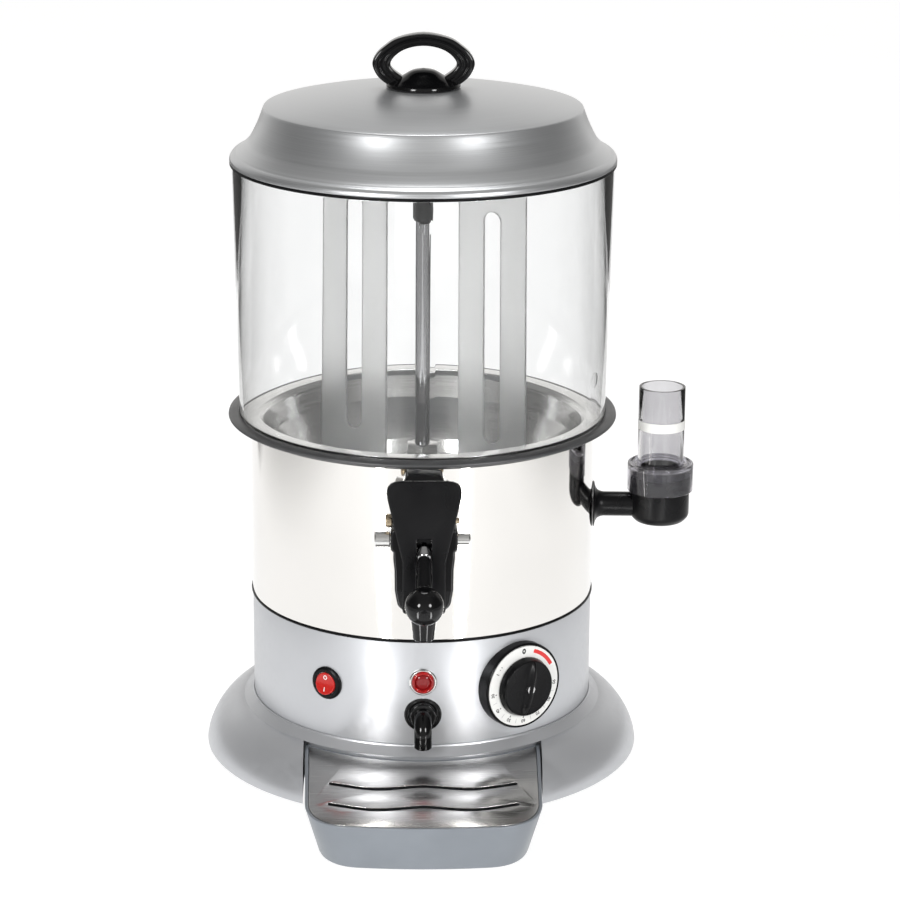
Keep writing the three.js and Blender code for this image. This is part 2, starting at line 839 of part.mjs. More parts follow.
// The seal clips over the jar's rim, and its outer lip shows under the lid as a dark line
function lidSeal() {
  const rim = jarTop - lidBottom + fit;
  const inside = jarTopRadius - jarWall - slideFit;
  const underLid = lidRimRadius - lidWall - fit;
  return revolve([
    [inside - lidSealWall, rim - lidSealDepth], [inside, rim - lidSealDepth], [inside, rim],
    [jarTopRadius + fit, rim], [jarTopRadius + fit, rim - lidSealLip], [lidRimRadius, rim - lidSealLip],
    [lidRimRadius, -fit], [underLid, -fit], [underLid, rim + lidSealTop],
    [inside - lidSealWall, rim + lidSealTop],
  ]);
}

function handleBase() {
  const dome = handleDomeShares.map(([across, up]) => [handleBaseRadius * across, handleDomeHeight * up]);
  return revolve([[0, 0], [handleBaseRadius, 0], ...dome], mediumTurns);
}

function handleLoop() {
  const reach = handleWidth / 2;
  const side = (shares, sign) => shares.map(([across, up]) => (
    new THREE.Vector2(sign * reach * across, handleRise * up)
  ));
  const edge = (shares) => [...side(shares, 1), ...side(shares.slice(0, -1), -1).reverse()];
  const loop = new THREE.Shape(new THREE.SplineCurve(edge(handleOuterShares)).getPoints(handleSteps));
  const opening = new THREE.Shape(new THREE.SplineCurve(edge(handleInnerShares)).getPoints(handleSteps));
  const bar = outward(extrude(loop, handleDepth)).translate(0, handleDepth / 2, 0);
  const gap = outward(extrude(opening, handleDepth + 2 * overrun));
  return cut(bar, gap.translate(0, handleDepth / 2 + overrun, 0));
}

// The loop and the domed foot are one moulding
function handle() {
  return cut(
    join(handleBase(), handleLoop()),
    rod(handleScrewRadius + fit, handleScrewBoreDepth + overrun, tinyTurns).translate(0, 0, -overrun),
  );
}

function handleScrew() {
  const head = rod(handleScrewHead, handleScrewHeadHeight, 6);
  return join(head, rod(handleScrewRadius, handleScrewHeadHeight + handleScrewLength, tinyTurns));
}

const lidPeak = lidShoulderRise + lidDomeHeight;
addMesh(lidGroup, 'lid', lid(), 'satin');
addMesh(lidGroup, 'lid_seal', lidSeal(), 'rubber');
addMesh(lidGroup, 'lid_handle', handle(), 'black').position.z = lidPeak + fit;
const screwPlace = lidPeak - lidWall - fit - handleScrewHeadHeight;
addMesh(lidGroup, 'handle_screw', handleScrew(), 'zinc').position.z = screwPlace;

// Drive: gear motor under its bracket, shaft, centre tube, nuts and coupling

const plateTop = basePlateHeight + basePlateThickness;
const motorBottom = plateTop + motorFloorGap;
const motorTop = motorBottom + motorHeight;

function hexPrism(acrossFlats, height) {
  return rod(acrossFlats / Math.sqrt(3), height, 6);
}

function gearMotor() {
  const winding = block(motorWidth, motorDepth, motorHeight).translate(0, motorShaftOffset, motorBottom);
  const gearCase = rod(gearCaseRadius, gearCaseHeight + motorSeat, mediumTurns);
  const shaftBore = rod(shaftRadius + fit, motorSeat + gearCaseHeight + overrun, tinyTurns);
  return cut(
    join(winding, gearCase.translate(0, 0, motorTop - motorSeat)),
    shaftBore.translate(0, 0, motorTop - motorSeat),
  );
}

function motorBracket() {
  const top = motorTop + fit;
  const plate = block(motorPlateWidth, motorDepth, motorPlateThickness).translate(0, motorShaftOffset, top);
  const legHeight = top - plateTop - fit;
  const legPlace = motorPlateWidth / 2 - standoffRadius;
  const legs = [-1, 1].flatMap((sideX) => [-1, 1].map((sideY) => (
    rod(standoffRadius, legHeight + motorPlateThickness / 2, tinyTurns).translate(
      sideX * legPlace,
      motorShaftOffset + sideY * (motorDepth / 2 - standoffRadius),
      plateTop + fit,
    )
  )));
  const opening = rod(gearCaseRadius + fit, motorPlateThickness + 2 * overrun, mediumTurns);
  return cut(join(plate, ...legs), opening.translate(0, 0, top - overrun));
}

function centreTube() {
  const bottom = tankBottom - tubeTail;
  return pipe(tubeRadius, tubeBore, tubeTop - bottom).translate(0, 0, bottom);
}

function driveShaft() {
  const bottom = motorTop - motorSeat + fit;
  return rod(shaftRadius, couplingTop - couplingRoof - fit - bottom, tinyTurns).translate(0, 0, bottom);
}

function tubeNut() {
  const across = 2 * tubeNutRadius * Math.cos(Math.PI / 6);
  const cone = rod(tubeNutRadius + tubeNutBevel, tubeNutHeight, smallTurns, tubeNutRadius - tubeNutBevel);
  const bore = rod(tubeRadius + fit, tubeNutHeight + 2 * overrun).translate(0, 0, -overrun);
  return cut(common(hexPrism(across, tubeNutHeight), cone), bore);
}

function coupling() {
  const barrel = rod(couplingRadius, couplingBarrel).translate(0, 0, couplingBottom);
  const dog = hexPrism(couplingDog, couplingTop - couplingShoulder + fit);
  const bore = rod(shaftRadius + fit, couplingTop - couplingRoof - couplingBottom + overrun, tinyTurns);
  return cut(
    join(barrel, dog.translate(0, 0, couplingShoulder - fit)),
    bore.translate(0, 0, couplingBottom - overrun),
  );
}

addMesh(body, 'gear_motor', gearMotor(), 'zinc');
addMesh(body, 'motor_bracket', motorBracket(), 'zinc');
addMesh(body, 'centre_tube', centreTube(), 'steel');
addMesh(body, 'drive_shaft', driveShaft(), 'steel');
addMesh(body, 'tube_nut', tubeNut(), 'steel').position.z = potBossTop + fit;
addMesh(body, 'tube_lock_nut', tubeNut(), 'brass').position.z = tankBottom - fit - tubeNutHeight;
addMesh(body, 'drive_coupling', coupling(), 'black').rotation.z = stirrerTurn * degree;

// Stirrer: two slotted blades on a crossbar whose hub sits on the coupling's dog

function blade() {
  const width = bladeOuter - bladeInner;
  const height = stirrerTop - bladeBottom;
  const plate = roundedOutline(width, height, bladeCorner);
  const slot = slotOutline(bladeSlotWidth, bladeSlotTop - bladeSlotBottom);
  const slotPlace = (bladeSlotTop + bladeSlotBottom) / 2;
  const sheet = outward(extrude(plate, bladeThickness, cornerSteps));
  const hole = outward(extrude(slot, bladeThickness + 2 * overrun, cornerSteps));
  return cut(
    sheet.translate((bladeInner + bladeOuter) / 2, bladeThickness / 2, (stirrerTop + bladeBottom) / 2),
    hole.translate((bladeInner + bladeOuter) / 2, bladeThickness / 2 + overrun, slotPlace),
  );
}

function stirrer() {
  const bar = block(bladeInner + bladeOuter, bladeThickness, crossbarHeight);
  const hub = rod(stirrerHubRadius, crossbarHeight);
  const socket = hexPrism(couplingDog + 2 * fit, crossbarHeight + 2 * overrun);
  return cut(
    join(
      bar.translate(0, 0, stirrerTop - crossbarHeight),
      hub.translate(0, 0, stirrerTop - crossbarHeight),
      blade(),
      blade().rotateZ(Math.PI),
    ),
    socket.translate(0, 0, stirrerTop - crossbarHeight - overrun),
  );
}

addMesh(body, 'stirrer', stirrer(), 'frosted').rotation.z = stirrerTurn * degree;

// Tap: every piece is placed in a group whose origin is on the barrel's axis

const tap = groupAt(body, 0, -tapAxis, 0);
const pinPlace = -tapPinGap;

function tapSilhouette() {
  const side = tapBodyShares.map(([across, up]) => [
    tapBodyWidth / 2 * across,
    tapBodyBottom + (tapBodyTop - tapBodyBottom) * up,
  ]);
  const mirrored = side.map(([x, z]) => [-x, z]).reverse();
  const depth = tapBodyFront + tapBodyBack + overrun;
  const solid = outward(extrude(outline([...side, ...mirrored]), depth));
  return solid.translate(0, tapBodyBack + overrun / 2, 0);
}

function tapPlan() {
  const half = tapBodyWidth / 2 + overrun;
  const shape = new THREE.Shape();
  shape.moveTo(-half, -tapBodyFront);
  shape.lineTo(half, -tapBodyFront);
  shape.lineTo(half, 0);
  shape.quadraticCurveTo(half, tapBodyBack, 0, tapBodyBack);
  shape.quadraticCurveTo(-half, tapBodyBack, -half, 0);
  return extrude(shape, tapBodyTop, cornerSteps);
}

function tapBody() {
  const solid = common(tapSilhouette(), tapPlan());
  const hub = block(tapHubWidth, tapHubDepth, tapHubHeight);
  const bossBack = tapAxis - tankRadius - washerThickness - 2 * fit;
  const boss = outward(rod(tapBossRadius, bossBack)).translate(0, bossBack, outletHeight);
  const spout = rod(spoutRadius, spoutLength + overrun, smallTurns, spoutTopRadius);
  const pipeBore = outward(rod(outletRadius + fit, bossBack));
  pipeBore.translate(0, bossBack + tapAxis - outletEnd - fit, outletHeight);
  const inlet = outward(rod(outletBore - fit, bossBack + overrun));
  inlet.translate(0, bossBack + overrun, outletHeight);
  const leverSlot = block(tapSlotWidth, tapBodyFront + overrun, tapSlotTop - tapSlotFloor);
  const wide = tapHubWidth + 2 * overrun;
  return cut(
    join(
      solid,
      hub.translate(0, tapHubDepth / 2 - tapBodyFront, pinHeight - tapHubHeight / 2),
      boss,
      spout.translate(0, 0, tapBodyBottom - spoutLength),
    ),
    rod(tapBore, tapBodyTop).translate(0, 0, tapSeat),
    rod(spoutBore, tapSeat, tinyTurns).translate(0, 0, tapBodyBottom - spoutLength - overrun),
    pipeBore,
    inlet,
    leverSlot.translate(0, -(tapBodyFront + overrun) / 2, tapSlotFloor),
    sideways(rod(pinRadius + fit, wide)).translate(-wide / 2, pinPlace, pinHeight),
    sideways(rod(lockPinRadius + fit, wide, tinyTurns)).translate(-wide / 2, pinPlace, lockPinHeight),
  );
}

function tapCap() {
  const low = block(tapCapWidth, tapCapDepth, tapCapHeight - tapCapBevel);
  const crown = new THREE.CylinderGeometry(
    (tapCapWidth - 2 * tapCapBevel) / Math.SQRT2,
    tapCapWidth / Math.SQRT2,
    tapCapBevel,
    4,
  );
  crown.rotateX(Math.PI / 2).rotateZ(Math.PI / 4).scale(1, tapCapDepth / tapCapWidth, 1);
  crown.translate(0, 0, tapCapHeight - tapCapBevel / 2);
  const hollow = rod(tapBore, tapCapHeight - tapCapRoof + overrun).translate(0, 0, -overrun);
  return cut(join(low, crown), hollow);
}

function tapPlate() {
  const top = tapPlateTopWidth / 2;
  const waist = tapPlateWidth / 2;
  const slot = tapSlotWidth / 2;
  const shape = new THREE.Shape();
  shape.moveTo(slot, tapPlateBottom);
  shape.lineTo(waist, tapPlateBottom);
  shape.lineTo(waist, tapPlateWaist);
  shape.lineTo(top, tapPlateTop - tapPlateCorner);
  shape.quadraticCurveTo(top, tapPlateTop, top - tapPlateCorner, tapPlateTop);
  shape.lineTo(tapPlateCorner - top, tapPlateTop);
  shape.quadraticCurveTo(-top, tapPlateTop, -top, tapPlateTop - tapPlateCorner);
  shape.lineTo(-waist, tapPlateWaist);
  shape.lineTo(-waist, tapPlateBottom);
  shape.lineTo(-slot, tapPlateBottom);
  shape.lineTo(-slot, tapPlateSlotTop);
  shape.lineTo(slot, tapPlateSlotTop);
  return outward(extrude(shape, tapPlateThickness, cornerSteps));
}

// The lever is made with its stem level and then turned down to its rest
function tapLever() {
  const hub = sideways(rod(leverHubRadius, leverWidth)).translate(-leverWidth / 2, 0, 0);
  const stem = outward(rod(leverStemRadius, leverReach - ballRadius + ballBite - fit, tinyTurns));
  const finger = block(leverWidth, leverFinger, leverFingerThickness);
  finger.translate(0, leverFinger / 2, -leverFingerThickness / 2);
  const bore = sideways(rod(pinRadius + fit, 2 * leverWidth)).translate(-leverWidth, 0, 0);
  const arm = join(hub, stem).rotateX(leverAngle * degree);
  return cut(join(arm, finger.rotateX(-leverSwing / 2 * degree)), bore);
}

function ballKnob() {
  const ball = new THREE.SphereGeometry(ballRadius, mediumTurns, tinyTurns);
  const socket = outward(rod(leverStemRadius + fit, ballRadius, tinyTurns));
  return cut(ball, socket.translate(0, 2 * ballRadius - ballBite, 0)).rotateX(leverAngle * degree);
}

function pin(radius, length, turns = smallTurns) {
  return sideways(rod(radius, length, turns)).translate(-length / 2, 0, 0);
}

function leverPin() {
  const head = sideways(rod(leverPinHead, leverPinHeadLength, smallTurns));
  const headPlace = tapHubWidth / 2 + fit + leverPinHeadLength;
  return join(pin(pinRadius, pinLength), head.translate(-headPlace, 0, 0));
}

function lockPin() {
  const head = sideways(rod(lockPinHead, lockPinHeadLength, tinyTurns));
  const headPlace = tapBodyWidth / 2 + fit + lockPinHeadLength;
  return join(pin(lockPinRadius, lockPinLength, tinyTurns), head.translate(-headPlace, 0, 0));
}

function piston() {
  const stem = pistonTop - tapSeat - sealHeight - 2 * fit;
  // The window is open at the front and just deeper than the lever's finger reaches
  const windowDepth = 2 * (pistonRadius + leverFinger - tapPinGap + 2 * slideFit);
  const window = block(leverWidth + 2 * slideFit, windowDepth, pistonWindow);
  const fingerHeight = pinHeight - pistonArm * Math.sin(leverSwing / 2 * degree);
  return cut(
    join(
      rod(pistonRadius, stem).translate(0, 0, tapSeat + sealHeight + 2 * fit),
      rod(pistonTipRadius, sealHeight + 2 * fit + overrun, tinyTurns).translate(0, 0, tapSeat + fit),
      rod(pistonTipRadius, pistonGuide + overrun, tinyTurns).translate(0, 0, pistonTop - overrun),
    ),
    window.translate(0, -pistonRadius, fingerHeight - pistonWindow / 2),
  );
}

function pistonSeal() {
  return pipe(tapBore - slideFit, pistonTipRadius + fit, sealHeight);
}

function coil(radius, wire, turns, height) {
  const steps = turns * springTurnSteps;
  const points = evenSteps(steps).map((step) => {
    const [x, y] = polar(radius, 2 * Math.PI * turns * step);
    return new THREE.Vector3(x, y, wire + (height - 2 * wire) * step);
  });
  return tubeAlong(points, wire, steps, springSides);
}

function tubeAlong(points, radius, steps, sides) {
  const path = new THREE.CatmullRomCurve3(points);
  const section = new THREE.Shape(evenSteps(sides).slice(1).map((step) => (
    new THREE.Vector2(...polar(radius, 2 * Math.PI * step))
  )));
  return new THREE.ExtrudeGeometry(section, { steps, extrudePath: path, bevelEnabled: false });
}

function washer() {
  const ring = outward(pipe(tapBossRadius, outletRadius + fit, washerThickness + tankRadius / 2));
  const outer = tankRadius + fit + washerThickness;
  return common(ring.translate(0, -tankRadius / 2 - fit, outletHeight), wallSkin(tankRadius + fit, outer));
}

function wallSkin(inner, outer) {
  return pipe(outer, inner, tankTop, bodyTurns);
}

addMesh(tap, 'tap_body', tapBody(), 'black');
addMesh(tap, 'tap_cap', tapCap(), 'black').position.z = tapBodyTop + fit;
addMesh(tap, 'tap_front_plate', tapPlate(), 'black').position.y = -tapBodyFront - fit;
addMesh(tap, 'tap_lever', tapLever(), 'steel').position.set(0, pinPlace, pinHeight);
const [ballForward, ballDrop] = polar(leverReach, leverAngle * degree);
const ball = addMesh(tap, 'lever_ball', ballKnob(), 'black');
ball.position.set(0, pinPlace - ballForward, pinHeight - ballDrop);
addMesh(tap, 'lever_pin', leverPin(), 'steel').position.set(0, pinPlace, pinHeight);
addMesh(tap, 'tap_lock_pin', lockPin(), 'brass').position.set(0, pinPlace, lockPinHeight);
addMesh(tap, 'tap_piston', piston(), 'white');
addMesh(tap, 'piston_seal', pistonSeal(), 'rubber').position.z = tapSeat + fit;
const springLength = tapBodyTop + fit + tapCapHeight - tapCapRoof - pistonTop - 2 * fit;
const spring = coil(springRadius, springWire, springTurns, springLength);
addMesh(tap, 'tap_spring', spring, 'steel').position.z = pistonTop + fit;
addMesh(body, 'tap_washer', washer(), 'rubber');

// Water gauge: elbow with its cup, ring nut, seal, clear tube and mark ring

const gauge = groupAt(body, 0, 0, 0, gaugeTurn);
// In this group the wall is in front, so the cup's axis lies at minus the reach
const cupPlace = -gaugeReach;
const cupFloor = gaugeCupBottom + gaugeCupWall;

function gaugeElbow() {
  const wall = tankRadius + fit;
  const flare = gaugeFlareShares.map(([across, along]) => [
    gaugePipeRadius + (gaugeFlangeRadius - gaugePipeRadius) * across,
    wall + gaugeFlangeThickness * along,
  ]);
  const arm = outward(revolve([
    [0, tankRadius - gaugeTail], [gaugePipeRadius, tankRadius - gaugeTail],
    [gaugePipeRadius, wall - gaugeFlangeThickness], [gaugeFlangeRadius, wall - gaugeFlangeThickness],
    ...flare,
    [gaugePipeRadius, gaugeReach], [0, gaugeReach],
  ], smallTurns)).translate(0, 0, gaugePipeHeight);
  const cup = revolve([
    [0, gaugeCupBottom], [gaugeCupRadius - gaugeCupWall, gaugeCupBottom],
    [gaugeCupRadius, gaugeCupBottom + gaugeCupWall], [gaugeCupRadius, gaugeCupTop], [0, gaugeCupTop],
  ], mediumTurns).translate(0, cupPlace, 0);
  const hollow = rod(gaugeCupRadius - gaugeCupWall, gaugeCupTop, mediumTurns);
  hollow.translate(0, cupPlace, cupFloor);
  const bore = outward(rod(gaugePipeBore, gaugeReach, tinyTurns)).translate(0, 0, gaugePipeHeight);
  const sleeve = pipe(gaugeFlangeRadius + overrun, gaugePipeRadius, gaugeFlangeThickness * 2 + tankWall);
  // The flange's back follows the tank's wall
  const groove = common(
    outward(sleeve).translate(0, overrun - tankRadius + gaugeFlangeThickness, gaugePipeHeight),
    rod(wall, 2 * gaugePipeHeight, bodyTurns).rotateZ(-gaugeTurn * degree),
  );
  return cut(join(arm, cup), hollow, bore, groove);
}

function gaugeRingNut() {
  const bottom = gaugeCupTop - gaugeNutSkirt;
  const ceiling = gaugeNutTop - gaugeCupWall;
  return revolve([
    [gaugeCupRadius + fit, bottom], [gaugeNutRadius, bottom], [gaugeNutRadius, gaugeNutTop - fit],
    [gaugeNutRadius - fit, gaugeNutTop], [gaugeTubeRadius + fit, gaugeNutTop],
    [gaugeTubeRadius + fit, ceiling], [gaugeCupRadius + fit, ceiling],
  ], mediumTurns);
}

const gaugeTubeBottom = cupFloor + fit;
const gaugeSealHeight = gaugeNutTop - gaugeCupWall - gaugeCupTop - 2 * fit;
const cup = groupAt(gauge, 0, cupPlace, 0);
addMesh(gauge, 'gauge_elbow', gaugeElbow(), 'black');
addMesh(cup, 'gauge_ring_nut', gaugeRingNut(), 'smoke');
const gaugeSeal = pipe(gaugeCupRadius, gaugeTubeRadius + fit, gaugeSealHeight, mediumTurns);
addMesh(cup, 'gauge_seal', gaugeSeal, 'rubber').position.z = gaugeCupTop + fit;
const gaugeTubeLength = gaugeTubeTop - gaugeTubeBottom;
const gaugeTube = pipe(gaugeTubeRadius, gaugeTubeRadius - gaugeTubeWall, gaugeTubeLength, mediumTurns);
addMesh(cup, 'gauge_tube', gaugeTube, 'clear').position.z = gaugeTubeBottom;
const markRadius = gaugeTubeRadius + fit;
const gaugeMark = pipe(markRadius + gaugeMarkThickness, markRadius, gaugeMarkWidth, mediumTurns);
addMesh(cup, 'gauge_mark_ring', gaugeMark, 'white').position.z = gaugeMarkHeight;
const gaugeNut = cut(
  hexPrism(2 * gaugeLockNut, gaugeLockNutThickness),
  rod(gaugePipeRadius + fit, gaugeReach),
);
const gaugeNutPlace = Math.sqrt(tankInside ** 2 - gaugeLockNut ** 2 * 4 / 3) - fit;
outward(gaugeNut).translate(0, gaugeLockNutThickness - gaugeNutPlace, gaugePipeHeight);
addMesh(gauge, 'gauge_lock_nut', gaugeNut, 'brass');

// Controls: each group is turned to its place, and its front wall lies at minus the housing's radius

// What lies inside this tube is cut away, so that a piece's back follows the wall
function wallBack(turn) {
  return rod(housingRadius + fit, tankBottom, bodyTurns).rotateZ(-turn * degree);
}

// A round piece that reaches out of the wall, with its curved back on it
function wallBoss(radius, reach, height, turn, turns = smallTurns) {
  const boss = outward(rod(radius, housingRadius / 2 + reach, turns));
  return cut(boss.translate(0, -housingRadius / 2, height), wallBack(turn));
}

// A round piece that fills a hole in the wall and reaches inwards
function wallNeck(radius, depth, reach, height, turns = smallTurns) {
  return outward(rod(radius, depth + reach, turns)).translate(0, depth - housingRadius, height);
}

const switchGroup = groupAt(body, 0, 0, 0, switchTurn);
const switchFace = switchBezelThickness + fit;

function switchHousing() {
  const pocket = outward(rod(rockerRadius + slideFit, rockerPocket + overrun, mediumTurns));
  const pocketPlace = rockerPocket - housingRadius - switchFace;
  return cut(
    join(
      wallBoss(switchBezelRadius, switchFace, switchHeight, switchTurn),
      wallNeck(switchBodyRadius, switchBodyDepth, switchFace - fit, switchHeight),
    ),
    pocket.translate(0, pocketPlace, switchHeight),
  );
}

function rocker() {
  const half = rockerRadius + fit;
  const side = outline([
    [-half, rockerRise], [0, rockerRise - rockerDish], [half, rockerRise],
    [half, -rockerEdge], [rockerEdge, -rockerDepth], [-rockerEdge, -rockerDepth], [-half, -rockerEdge],
  ]);
  // The side outline has its length along X and its rise along Y
  const lying = extrude(side, 2 * half).translate(0, 0, -half);
  const saddle = lying.rotateY(-Math.PI / 2).rotateX(Math.PI / 2);
  const disc = outward(rod(rockerRadius, rockerDepth + rockerRise + overrun, mediumTurns));
  return common(saddle, disc.translate(0, rockerDepth, 0)).rotateX(-rockerTilt * degree);
}

addMesh(switchGroup, 'switch_housing', switchHousing(), 'black');
const rockerMesh = addMesh(switchGroup, 'power_rocker', rocker(), 'red');
rockerMesh.position.set(0, -housingRadius - switchFace, switchHeight);

function lampBody() {
  const face = lampBezelThickness + fit;
  const recess = outward(rod(lampLensRadius + fit, lampBezelThickness));
  return cut(
    join(
      wallBoss(lampBezelRadius, face, lampHeight, 0),
      wallNeck(lampBodyRadius, lampBodyDepth, face - fit, lampHeight),
    ),
    recess.translate(0, lampLensSeat - housingRadius - face, lampHeight),
  );
}

function lampLens() {
  return outward(revolve([
    [0, 0], [lampLensRadius, 0], [lampLensRadius, lampLensSeat],
    [lampLensRadius * lampDomeShare, lampLensRise], [0, lampLensRise + lampLensSeat - fit],
  ], smallTurns));
}

addMesh(body, 'lamp_housing', lampBody(), 'satin');
const lensPlace = lampLensSeat - fit - housingRadius - lampBezelThickness - fit;
addMesh(body, 'lamp_lens', lampLens(), 'red').position.set(0, lensPlace, lampHeight);

// Points along a path that turns once, with its corner rounded off
function roundedPath(from, corner, to, bend) {
  const before = from.clone().sub(corner).setLength(bend).add(corner);
  const after = to.clone().sub(corner).setLength(bend).add(corner);
  return [from, ...new THREE.QuadraticBezierCurve3(before, corner, after).getPoints(bendSteps), to];
}

// Drain elbow: disc on the wall, a spout that turns down, a stub through the wall and its nut

function drainElbow() {
  const start = -housingRadius;
  const end = start - drainReach;
  const spoutPath = (inset, extra) => roundedPath(
    new THREE.Vector3(0, start - inset, drainHeight),
    new THREE.Vector3(0, end, drainHeight),
    new THREE.Vector3(0, end, drainHeight - drainDrop - extra),
    drainBend,
  );
  const spout = tubeAlong(spoutPath(drainDiscThickness / 3, 0), drainSpoutRadius, drainSteps, smallTurns);
  const bore = tubeAlong(spoutPath(0, overrun), drainSpoutBore, drainSteps, tinyTurns);
  const stub = wallNeck(drainSpoutRadius - fit, drainStub, drainDiscThickness / 2, drainHeight);
  const stubBore = wallNeck(drainSpoutBore + fit, drainStub + overrun, fit, drainHeight, tinyTurns);
  const disc = wallBoss(drainDiscRadius, drainDiscThickness, drainHeight, 0);
  return cut(join(disc, spout, stub), bore, stubBore);
}

function drainNut() {
  const prism = hexPrism(2 * drainNutRadius, drainNutThickness);
  const nut = cut(prism, rod(drainSpoutRadius + fit, housingRadius));
  const place = Math.sqrt(housingInside ** 2 - drainNutRadius ** 2 * 4 / 3) - fit;
  return outward(nut).translate(0, drainNutThickness - place, drainHeight);
}

function drainPipe() {
  const end = drainStub - housingRadius + fit;
  const points = roundedPath(
    new THREE.Vector3(0, end, drainHeight),
    new THREE.Vector3(0, drainPipePlace, drainHeight),
    new THREE.Vector3(0, drainPipePlace, tankBottom + tankWall),
    drainBend,
  );
  return tubeAlong(points, drainSpoutRadius - fit, drainPipeSteps, tinyTurns);
}

addMesh(body, 'drain_elbow', drainElbow(), 'black');
addMesh(body, 'drain_nut', drainNut(), 'brass');
addMesh(body, 'drain_pipe', drainPipe(), 'steel');

// Thermostat: body inside the wall, bezel outside, and the knob with its dial face on the spindle

const dialGroup = groupAt(body, 0, 0, 0, dialTurn);
const dialSeat = housingRadius + dialBezelReach;

function dialBezel() {
  const recessRadius = turningHole(dialFaceRadius, mediumTurns);
  const recess = outward(rod(recessRadius, dialRecess + overrun, mediumTurns));
  const bore = outward(rod(dialFaceBore, dialSeat, smallTurns));
  // The notch in the rim, against which the turning face is read
  const index = block(dialIndexWidth, 2 * dialRecess, dialIndexLength + overrun);
  return cut(
    wallBoss(dialBezelRadius, dialBezelReach, dialHeight, dialTurn, mediumTurns),
    recess.translate(0, dialRecess - dialSeat, dialHeight),
    bore.translate(0, -housingRadius / 2, dialHeight),
    index.translate(0, -dialSeat, dialHeight + dialFaceRadius - overrun),
  );
}

function knob() {
  const skirtPart = rod(knobRadius, knobHeight, mediumTurns, knobRadius - knobTaper);
  const grip = roundedOutline(knobGripWidth, 2 * (knobRadius - knobTaper), knobGripWidth / 3);
  const upright = extrude(grip, knobGripHeight, cornerSteps).translate(0, 0, knobHeight - fit);
  const ridge = upright.rotateZ(-knobGripTurn * degree);
  const bore = rod(spindleRadius + fit, knobBoreDepth + overrun, tinyTurns).translate(0, 0, -overrun);
  return outward(cut(join(skirtPart, ridge), bore));
}

const thermostatFront = Math.sqrt(housingInside ** 2 - thermostatRadius ** 2) - fit;

function thermostatBody() {
  const drum = outward(rod(thermostatRadius, thermostatDepth));
  const socket = outward(rod(spindleRadius + fit, thermostatDepth, tinyTurns));
  return cut(
    drum.translate(0, thermostatDepth - thermostatFront, dialHeight),
    socket.translate(0, thermostatDepth / 2 - thermostatFront, dialHeight),
  );
}

function spindle() {
  const start = thermostatFront - thermostatDepth / 2 + fit;
  const end = knobPlace + knobBoreDepth - fit;
  return outward(rod(spindleRadius, end - start, tinyTurns)).translate(0, -start, dialHeight);
}

const dialFacePlace = dialSeat - dialRecess + fit;
const knobPlace = dialFacePlace + dialFaceThickness + slideFit;
const dialFace = outward(pipe(dialFaceRadius, dialFaceBore, dialFaceThickness, mediumTurns));
addMesh(dialGroup, 'thermostat_bezel', dialBezel(), 'black');
addMesh(dialGroup, 'dial_face', dialFace, 'white').position.set(0, -dialFacePlace, dialHeight);
addMesh(dialGroup, 'thermostat_knob', knob(), 'black').position.set(0, -knobPlace, dialHeight);
addMesh(dialGroup, 'thermostat_body', thermostatBody(), 'zinc');
addMesh(dialGroup, 'thermostat_spindle', spindle(), 'steel');

// Heating element, terminal block and cable gland

function heater() {
  const spread = (heaterSpread / 2) * degree;
  const height = tankBottom + heaterHeight;
  const arc = evenSteps(heaterSteps).map((step) => {
    const angle = -Math.PI / 2 - spread + 2 * spread * step;
    const [x, y] = polar(heaterRadius, angle);
    return new THREE.Vector3(x, y, height);
  });
  const leg = (side) => [
    new THREE.Vector3(side * heaterLegGap / 2, heaterLegPlace, height - 2 * heaterTube),
    new THREE.Vector3(side * heaterLegGap / 2, heaterLegPlace, tankBottom + heaterTube),
    new THREE.Vector3(side * heaterLegGap / 2, heaterLegPlace, tankBottom - heaterLegTail),
  ];
  const points = [...leg(-1).reverse(), ...arc, ...leg(1)];
  return tubeAlong(points, heaterTube, heaterTubeSteps, heaterSides);
}

function terminalBlock() {
  const base = block(terminalWidth, terminalDepth, terminalHeight);
  const pitch = terminalWidth / terminalPoles;
  const wells = evenSteps(terminalPoles - 1).map((step) => {
    const x = (step - 1 / 2) * (terminalWidth - pitch);
    return block(pitch / 2, terminalDepth / 2, terminalHeight).translate(x, 0, terminalHeight / 2);
  });
  return cut(base, ...wells);
}

function cableGland() {
  const neck = wallNeck(glandNeck, glandReach, glandReach, glandHeight);
  const collar = wallBoss(glandRadius, glandReach / 2, glandHeight, glandTurn);
  const bore = wallNeck(glandBore, 2 * glandReach, 2 * glandReach, glandHeight);
  return cut(join(neck, collar), bore);
}

function glandNut() {
  const prism = hexPrism(2 * glandRadius, glandNutThickness);
  const nut = cut(prism, rod(glandNeck + fit, housingRadius));
  const place = Math.sqrt(housingInside ** 2 - glandRadius ** 2 * 4 / 3) - fit;
  return outward(nut).translate(0, glandNutThickness - place, glandHeight);
}

const glandGroup = groupAt(body, 0, 0, 0, glandTurn);
addMesh(body, 'heating_element', heater(), 'steel');
const terminals = addMesh(body, 'terminal_block', terminalBlock(), 'white');
terminals.position.set(-terminalPlace, terminalPlace, plateTop + fit);
addMesh(glandGroup, 'cable_gland', cableGland(), 'black');
addMesh(glandGroup, 'gland_nut', glandNut(), 'black');

// Drip tray that slides into the skirt's bay, and its slotted grille

const trayHeight = trayTop - trayBottom;

